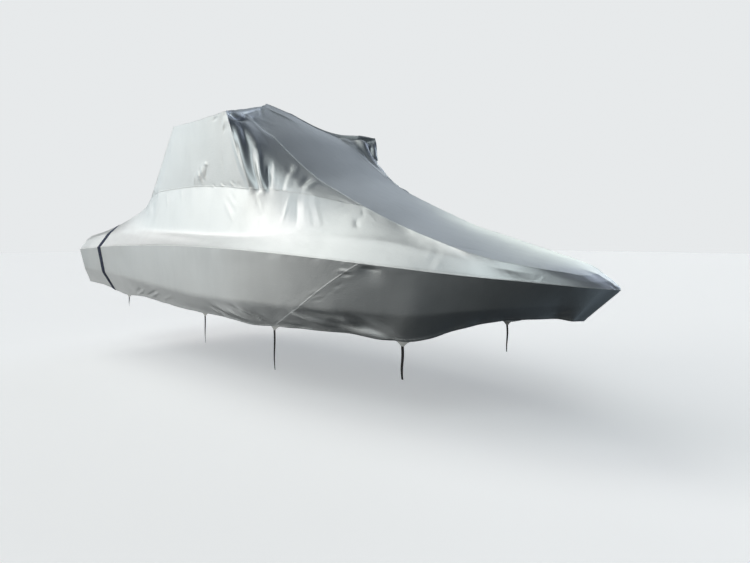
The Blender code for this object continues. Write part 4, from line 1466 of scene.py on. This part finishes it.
    def build(self, finish: ClothFinish) -> None:
        """Args:
            finish: The finish of the cloth.
        """
        material = finish.make()
        for name, panel in self.panels.items():
            lap, run = panel.nearest((Sewn.OVER,))
            hem, hem_run = panel.nearest((Sewn.HEM,))
            run = np.where(hem < lap, hem_run, run)
            piece = self.maker.make(name + "_cloth", panel.grid - REST, panel.way, material,
                                    lap=lap, hem=hem, run=run)
            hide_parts(name)
            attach(piece, "root")
            log.info("%s: %d by %d points", piece.name, *panel.grid.shape[:2])


@dataclass
class Ties:
    """The tabs on the hem and the straps that hang from them.

    Attributes:
        cover: The cover that they are sewn to.
        tab_rows: The rows of a tab's cells.
        strap_rows: The rows of a strap's cells.
        strap_columns: The cells across a strap.
        twist: How far a strap turns on its way down, in radians.
        sway: How far its middle swings out of line.
    """

    cover: Cover
    tab_rows: int = 8
    strap_rows: int = 40
    strap_columns: int = 6
    twist: float = 0.5
    sway: float = 0.004

    def hem_beside(self, station: float, side: Side) -> Grid:
        """The hem's points over a tab, with one cell of the solids on either side of it.

        Args:
            station: The tab's station on the hem.
            side: Its side of the boat.

        Returns:
            The points, from aft to forward.
        """
        places = self.cover.cells.stations(STERN, BOW)
        coarse = [SPANS[0].start]
        for span in SPANS:
            coarse.extend(np.linspace(span.start, span.end, span.cells + 1)[1:])
        at = int(np.argmin(np.abs(np.array(coarse) - station)))
        low, high = coarse[at - 1], coarse[at + 1]
        chosen = (places > low - SAME_POINT) & (places < high + SAME_POINT)
        aft = self.cover.panels["aft_skirt_" + side.label].grid[0]
        fore = self.cover.panels["forward_skirt_" + side.label].grid[0]
        return np.concatenate([aft, fore[1:]])[chosen]

    def build(self, tab_finish: ClothFinish, strap_finish: WebbingFinish) -> None:
        """Makes the tabs and straps.

        Args:
            tab_finish: The finish of the tabs.
            strap_finish: The finish of the straps.
        """
        tab_material, strap_material = tab_finish.make(), strap_finish.make()
        for number, tie in enumerate(TIES, start=1):
            for side in Side:
                self.tie(f"{number}_{side.label}", tie, side, tab_material, strap_material)

    def tie(
        self,
        label: str,
        tie: Tie,
        side: Side,
        tab_material: bpy.types.Material,
        strap_material: bpy.types.Material,
    ) -> None:
        """Makes one tab and its strap.

        Args:
            label: The end of their names.
            tie: Where they are.
            side: Their side of the boat.
            tab_material: The tab's material.
            strap_material: The strap's material.
        """
        top = self.hem_beside(tie.station, side)
        middle = top[len(top) // 2]
        along = unit(top[-1] - top[0]) * [1, 1, 0]
        out = np.cross(along, UP) * -side.value
        foot = middle - UP * tie.drop
        across = np.linspace(-0.5, 0.5, len(top))[:, None]
        end = foot + across * along * STRAP_WIDTH
        down = np.linspace(0, 1, self.tab_rows + 1)[:, None, None]
        hollow = -TAB_HOLLOW * np.sin(math.pi * down) * (2 * np.abs(across)) ** 2
        tab = top * (1 - down) + end * down - UP * hollow
        way = np.broadcast_to(out, tab.shape)
        flank = TAB_LENGTH * np.abs(across[:, 0]) + np.zeros(tab.shape[:2])
        edges = {"lap": np.full(tab.shape[:2], FAR), "hem": np.full(tab.shape[:2], FAR),
                 "run": flank}
        piece = SheetMaker(CLOTH).make("tab_cloth_" + label, tab - REST, way, tab_material, **edges)
        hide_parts("tab_" + label)
        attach(piece, "root")

        length = float(foot[2] - tie.end_height)
        fall = np.linspace(0, 1, self.strap_rows + 1)[:, None, None]
        turn = self.twist * fall**1.5 * (1 if side is Side.STARBOARD else -1)
        flat_way = along * np.cos(turn) + out * np.sin(turn)
        centre = foot - UP * fall * length + out * self.sway * np.sin(math.pi * fall)
        centre = centre + along * self.sway * np.sin(2 * math.pi * fall)
        spread = np.linspace(-0.5, 0.5, self.strap_columns + 1)[None, :, None]
        strap = centre + flat_way * spread * STRAP_WIDTH
        face = out * np.cos(turn) - along * np.sin(turn)
        way = np.broadcast_to(face, strap.shape)
        piece = SheetMaker(WEBBING).make("tie_webbing_" + label, strap - REST, way, strap_material)
        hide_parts("tie_strap_" + label)
        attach(piece, "root")
        log.info("%s: %.3f m", piece.name, length)


@dataclass
class SternBelt:
    """The webbing belt over the stern, from hem to hem.

    Attributes:
        cover: The cover that it lies on.
    """

    cover: Cover

    def build(self, finish: WebbingFinish) -> None:
        """Makes the belt.

        Args:
            finish: Its finish.
        """
        places = self.cover.cells.stations(STERN, TOWER_AFT)
        low = BELT_STATION - BELT_WIDTH / 2 - SAME_POINT
        high = BELT_STATION + BELT_WIDTH / 2 + SAME_POINT
        first, last = np.searchsorted(places, low), np.searchsorted(places, high)
        pair = slice(int(first), int(last))
        under, off = {}, {}
        for side in Side:
            skirt = self.cover.panels["aft_skirt_" + side.label]
            deck = self.cover.panels["deck_panel_" + side.label]
            under[side] = np.concatenate([skirt.grid[:, pair], deck.grid[1:, pair]])
            off[side] = np.concatenate([skirt.way[:, pair], deck.way[1:, pair]])
        aft = self.cover.panels["aft_panel"]
        over = np.swapaxes(aft.grid[pair], 0, 1)[1:-1]
        over_way = np.swapaxes(aft.way[pair], 0, 1)[1:-1]
        star, port = Side.STARBOARD, Side.PORT
        line = np.concatenate([under[star], over, under[port][::-1]])
        way = np.concatenate([off[star], over_way, off[port][::-1]])
        outer = line + way * (LAP_GAP + WEBBING) - REST
        piece = SheetMaker(WEBBING).make("stern_belt_webbing", outer, way, finish.make())
        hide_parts("stern_belt")
        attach(piece, "root")


@dataclass(frozen=True)
class Lamp:
    """A broad soft light from far off.

    Attributes:
        name: Its name.
        toward: The direction from the cover to it.
        colour: Its strength in red, green and blue.
    """

    name: str
    toward: tuple[float, float, float]
    colour: tuple[float, float, float]

    def hang(self) -> None:
        """Hangs the light."""
        data = bpy.data.lights.new(self.name, "SUN")
        data.angle, data.energy = LAMP_BREADTH, max(self.colour)
        data.color = [part / data.energy for part in self.colour]
        lamp = bpy.data.objects.new(self.name, data)
        way = Vector(self.toward).normalized()
        lamp.location = way * LAMP_AWAY
        lamp.rotation_euler = way.to_track_quat("Z", "Y").to_euler()
        bpy.context.scene.collection.objects.link(lamp)


@dataclass(frozen=True)
class Studio:
    """The floor, the lights and the camera.

    Attributes:
        lamps: The lights, those below the horizon for what pale ground sends back up.
        zenith: The colour of the light from straight above.
        horizon: The colour of the light from the horizon.
        ground: The colour of the light from straight below.
        backdrop: The colour that shows behind the floor.
        floor: The colour of the floor.
        glow: How much of the floor's colour shows in shadow too.
        eye: The camera's place.
        azimuth: How far its view is turned from +Y towards -X, in degrees.
        pitch: How far it looks down, in degrees.
        lens: Its focal length, in millimetres, on a sensor 36 mm wide.
    """

    lamps: tuple[Lamp, ...] = (
        Lamp("key", (-0.70, -0.41, 0.58), (0.55, 0.50, 0.48)),
        Lamp("key_low", (-0.61, -0.73, 0.32), (0.62, 0.59, 0.55)),
        Lamp("key_high", (-0.52, -0.09, 0.85), (0.46, 0.45, 0.42)),
        Lamp("key_side", (-0.30, -0.59, 0.75), (0.23, 0.23, 0.23)),
        Lamp("fill", (0.32, -0.69, 0.65), (0.56, 0.595, 0.59)),
        Lamp("stern", (-0.94, -0.30, 0.15), (0.22, 0.24, 0.25)),
        Lamp("port_low", (-0.38, 0.92, 0.08), (0.64, 0.68, 0.60)),
        Lamp("port_high", (-0.04, 0.94, 0.35), (0.23, 0.25, 0.31)),
        Lamp("port_stern", (-0.49, 0.70, 0.52), (0.14, 0.15, 0.165)),
        Lamp("high_bow", (0.20, -0.25, 0.95), (0.12, 0.125, 0.12)),
        Lamp("ground_port", (-0.69, 0.09, -0.72), (0.03, 0.03, 0.03)),
        Lamp("ground_near", (-0.79, -0.61, -0.12), (0.17, 0.16, 0.15)),
        Lamp("ground_stern", (-0.85, -0.24, -0.43), (0.21, 0.205, 0.20)),
        Lamp("ground_bow", (0.45, 0.36, -0.78), (0.06, 0.07, 0.08)),
    )
    zenith: tuple[float, float, float, float] = (0.020, 0.028, 0.048, 1.0)
    horizon: tuple[float, float, float, float] = (0.020, 0.024, 0.032, 1.0)
    ground: tuple[float, float, float, float] = (0.008, 0.009, 0.010, 1.0)
    backdrop: tuple[float, float, float, float] = (0.80, 0.82, 0.83, 1.0)
    floor: tuple[float, float, float, float] = (0.80, 0.82, 0.83, 1.0)
    glow: float = 0.42
    eye: tuple[float, float, float] = (5.867, -4.182, -1.605)
    azimuth: float = 44.0
    pitch: float = 4.44
    lens: float = 27.504

    def lay_floor(self) -> None:
        """Lays a plain pale floor."""
        bm = bmesh.new()
        bmesh.ops.create_grid(bm, x_segments=4, y_segments=4, size=60)
        bmesh.ops.translate(bm, verts=bm.verts, vec=(0, 0, FLOOR))
        mesh = bpy.data.meshes.new("floor")
        bm.to_mesh(mesh)
        bm.free()
        nodes = Nodes(bpy.data.materials.new("floor"))
        mottle = nodes.noise(nodes.object_place(), 0.7, 5.0)
        base = nodes.blend(mottle, colour(*(0.97 * part for part in self.floor[:3])), self.floor)
        nodes.feed(nodes.shader.inputs["Base Color"], base)
        nodes.feed(nodes.shader.inputs["Emission Color"], base)
        nodes.shader.inputs["Emission Strength"].default_value = self.glow
        nodes.shader.inputs["Roughness"].default_value = 0.9
        mesh.materials.append(nodes.owner)
        floor = bpy.data.objects.new("floor", mesh)
        bpy.context.scene.collection.objects.link(floor)
        floor.visible_diffuse = floor.visible_glossy = floor.visible_shadow = False

    def light(self) -> None:
        """Hangs the lights and sets the light from all round."""
        for lamp in self.lamps:
            lamp.hang()
        world = bpy.data.worlds.new("studio")
        bpy.context.scene.world = world
        nodes = Nodes(world)
        way = nodes.add("SeparateXYZ", {"Vector": nodes.add("TexCoord").outputs["Generated"]})
        height = way.outputs["Z"]
        sky = nodes.blend(nodes.spread(height, 0.0, 1.0, 0.0, 1.0), self.horizon, self.zenith)
        below = nodes.spread(height, 0.0, -0.5, 0.0, 1.0)
        around = nodes.tree.nodes["Background"]
        nodes.feed(around.inputs["Color"], nodes.blend(below, sky, self.ground))
        behind = nodes.add("Background", {"Color": self.backdrop})
        seen = nodes.add("LightPath").outputs["Is Camera Ray"]
        either = nodes.add("MixShader", {0: seen, 1: around.outputs[0], 2: behind.outputs[0]})
        nodes.feed(nodes.tree.nodes["World Output"].inputs["Surface"], either.outputs[0])
        bpy.context.scene.view_settings.view_transform = "Standard"

    def set_camera(self) -> None:
        """Sets the camera up."""
        data = bpy.data.cameras.new("camera")
        data.lens, data.sensor_width = self.lens, 36.0
        data.dof.use_dof = False
        camera = bpy.data.objects.new("camera", data)
        turn, down = math.radians(self.azimuth), math.radians(self.pitch)
        look = Vector((-math.sin(turn) * math.cos(down), math.cos(turn) * math.cos(down),
                       -math.sin(down)))
        camera.location = self.eye
        camera.rotation_euler = look.to_track_quat("-Z", "Y").to_euler()
        bpy.context.scene.collection.objects.link(camera)
        bpy.context.scene.camera = camera


SILVER = ClothFinish(
    name="silver_cloth",
    clean=colour(0.70, 0.75, 0.76),
    soiled=colour(0.62, 0.67, 0.68),
    thread=colour(0.84, 0.86, 0.85),
    roughness=(0.44, 0.48),
    metallic=0.80,
)
TAB = ClothFinish(
    name="tab_cloth",
    clean=colour(0.68, 0.70, 0.68),
    soiled=colour(0.55, 0.57, 0.56),
    thread=colour(0.80, 0.81, 0.79),
    roughness=(0.50, 0.65),
    metallic=0.0,
)
BLACK = WebbingFinish(
    name="black_webbing",
    dark=colour(0.008, 0.008, 0.009),
    light=colour(0.022, 0.022, 0.025),
    faded=colour(0.035, 0.035, 0.038),
    roughness=0.70,
)
BLUE = WebbingFinish(
    name="blue_webbing",
    dark=colour(0.020, 0.030, 0.070),
    light=colour(0.050, 0.075, 0.150),
    faded=colour(0.065, 0.088, 0.155),
    roughness=0.85,
)


def main() -> None:
    """Builds every piece round the frame, then the studio."""
    logging.basicConfig(level=logging.INFO, format="%(message)s")
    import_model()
    studio = Studio()
    studio.set_camera()
    cover = Cover()
    cover.cut()
    cover.drape()
    cover.build(SILVER)
    Ties(cover).build(TAB, BLACK)
    SternBelt(cover).build(BLUE)
    studio.lay_floor()
    studio.light()


if __name__ == "__main__":
    main()
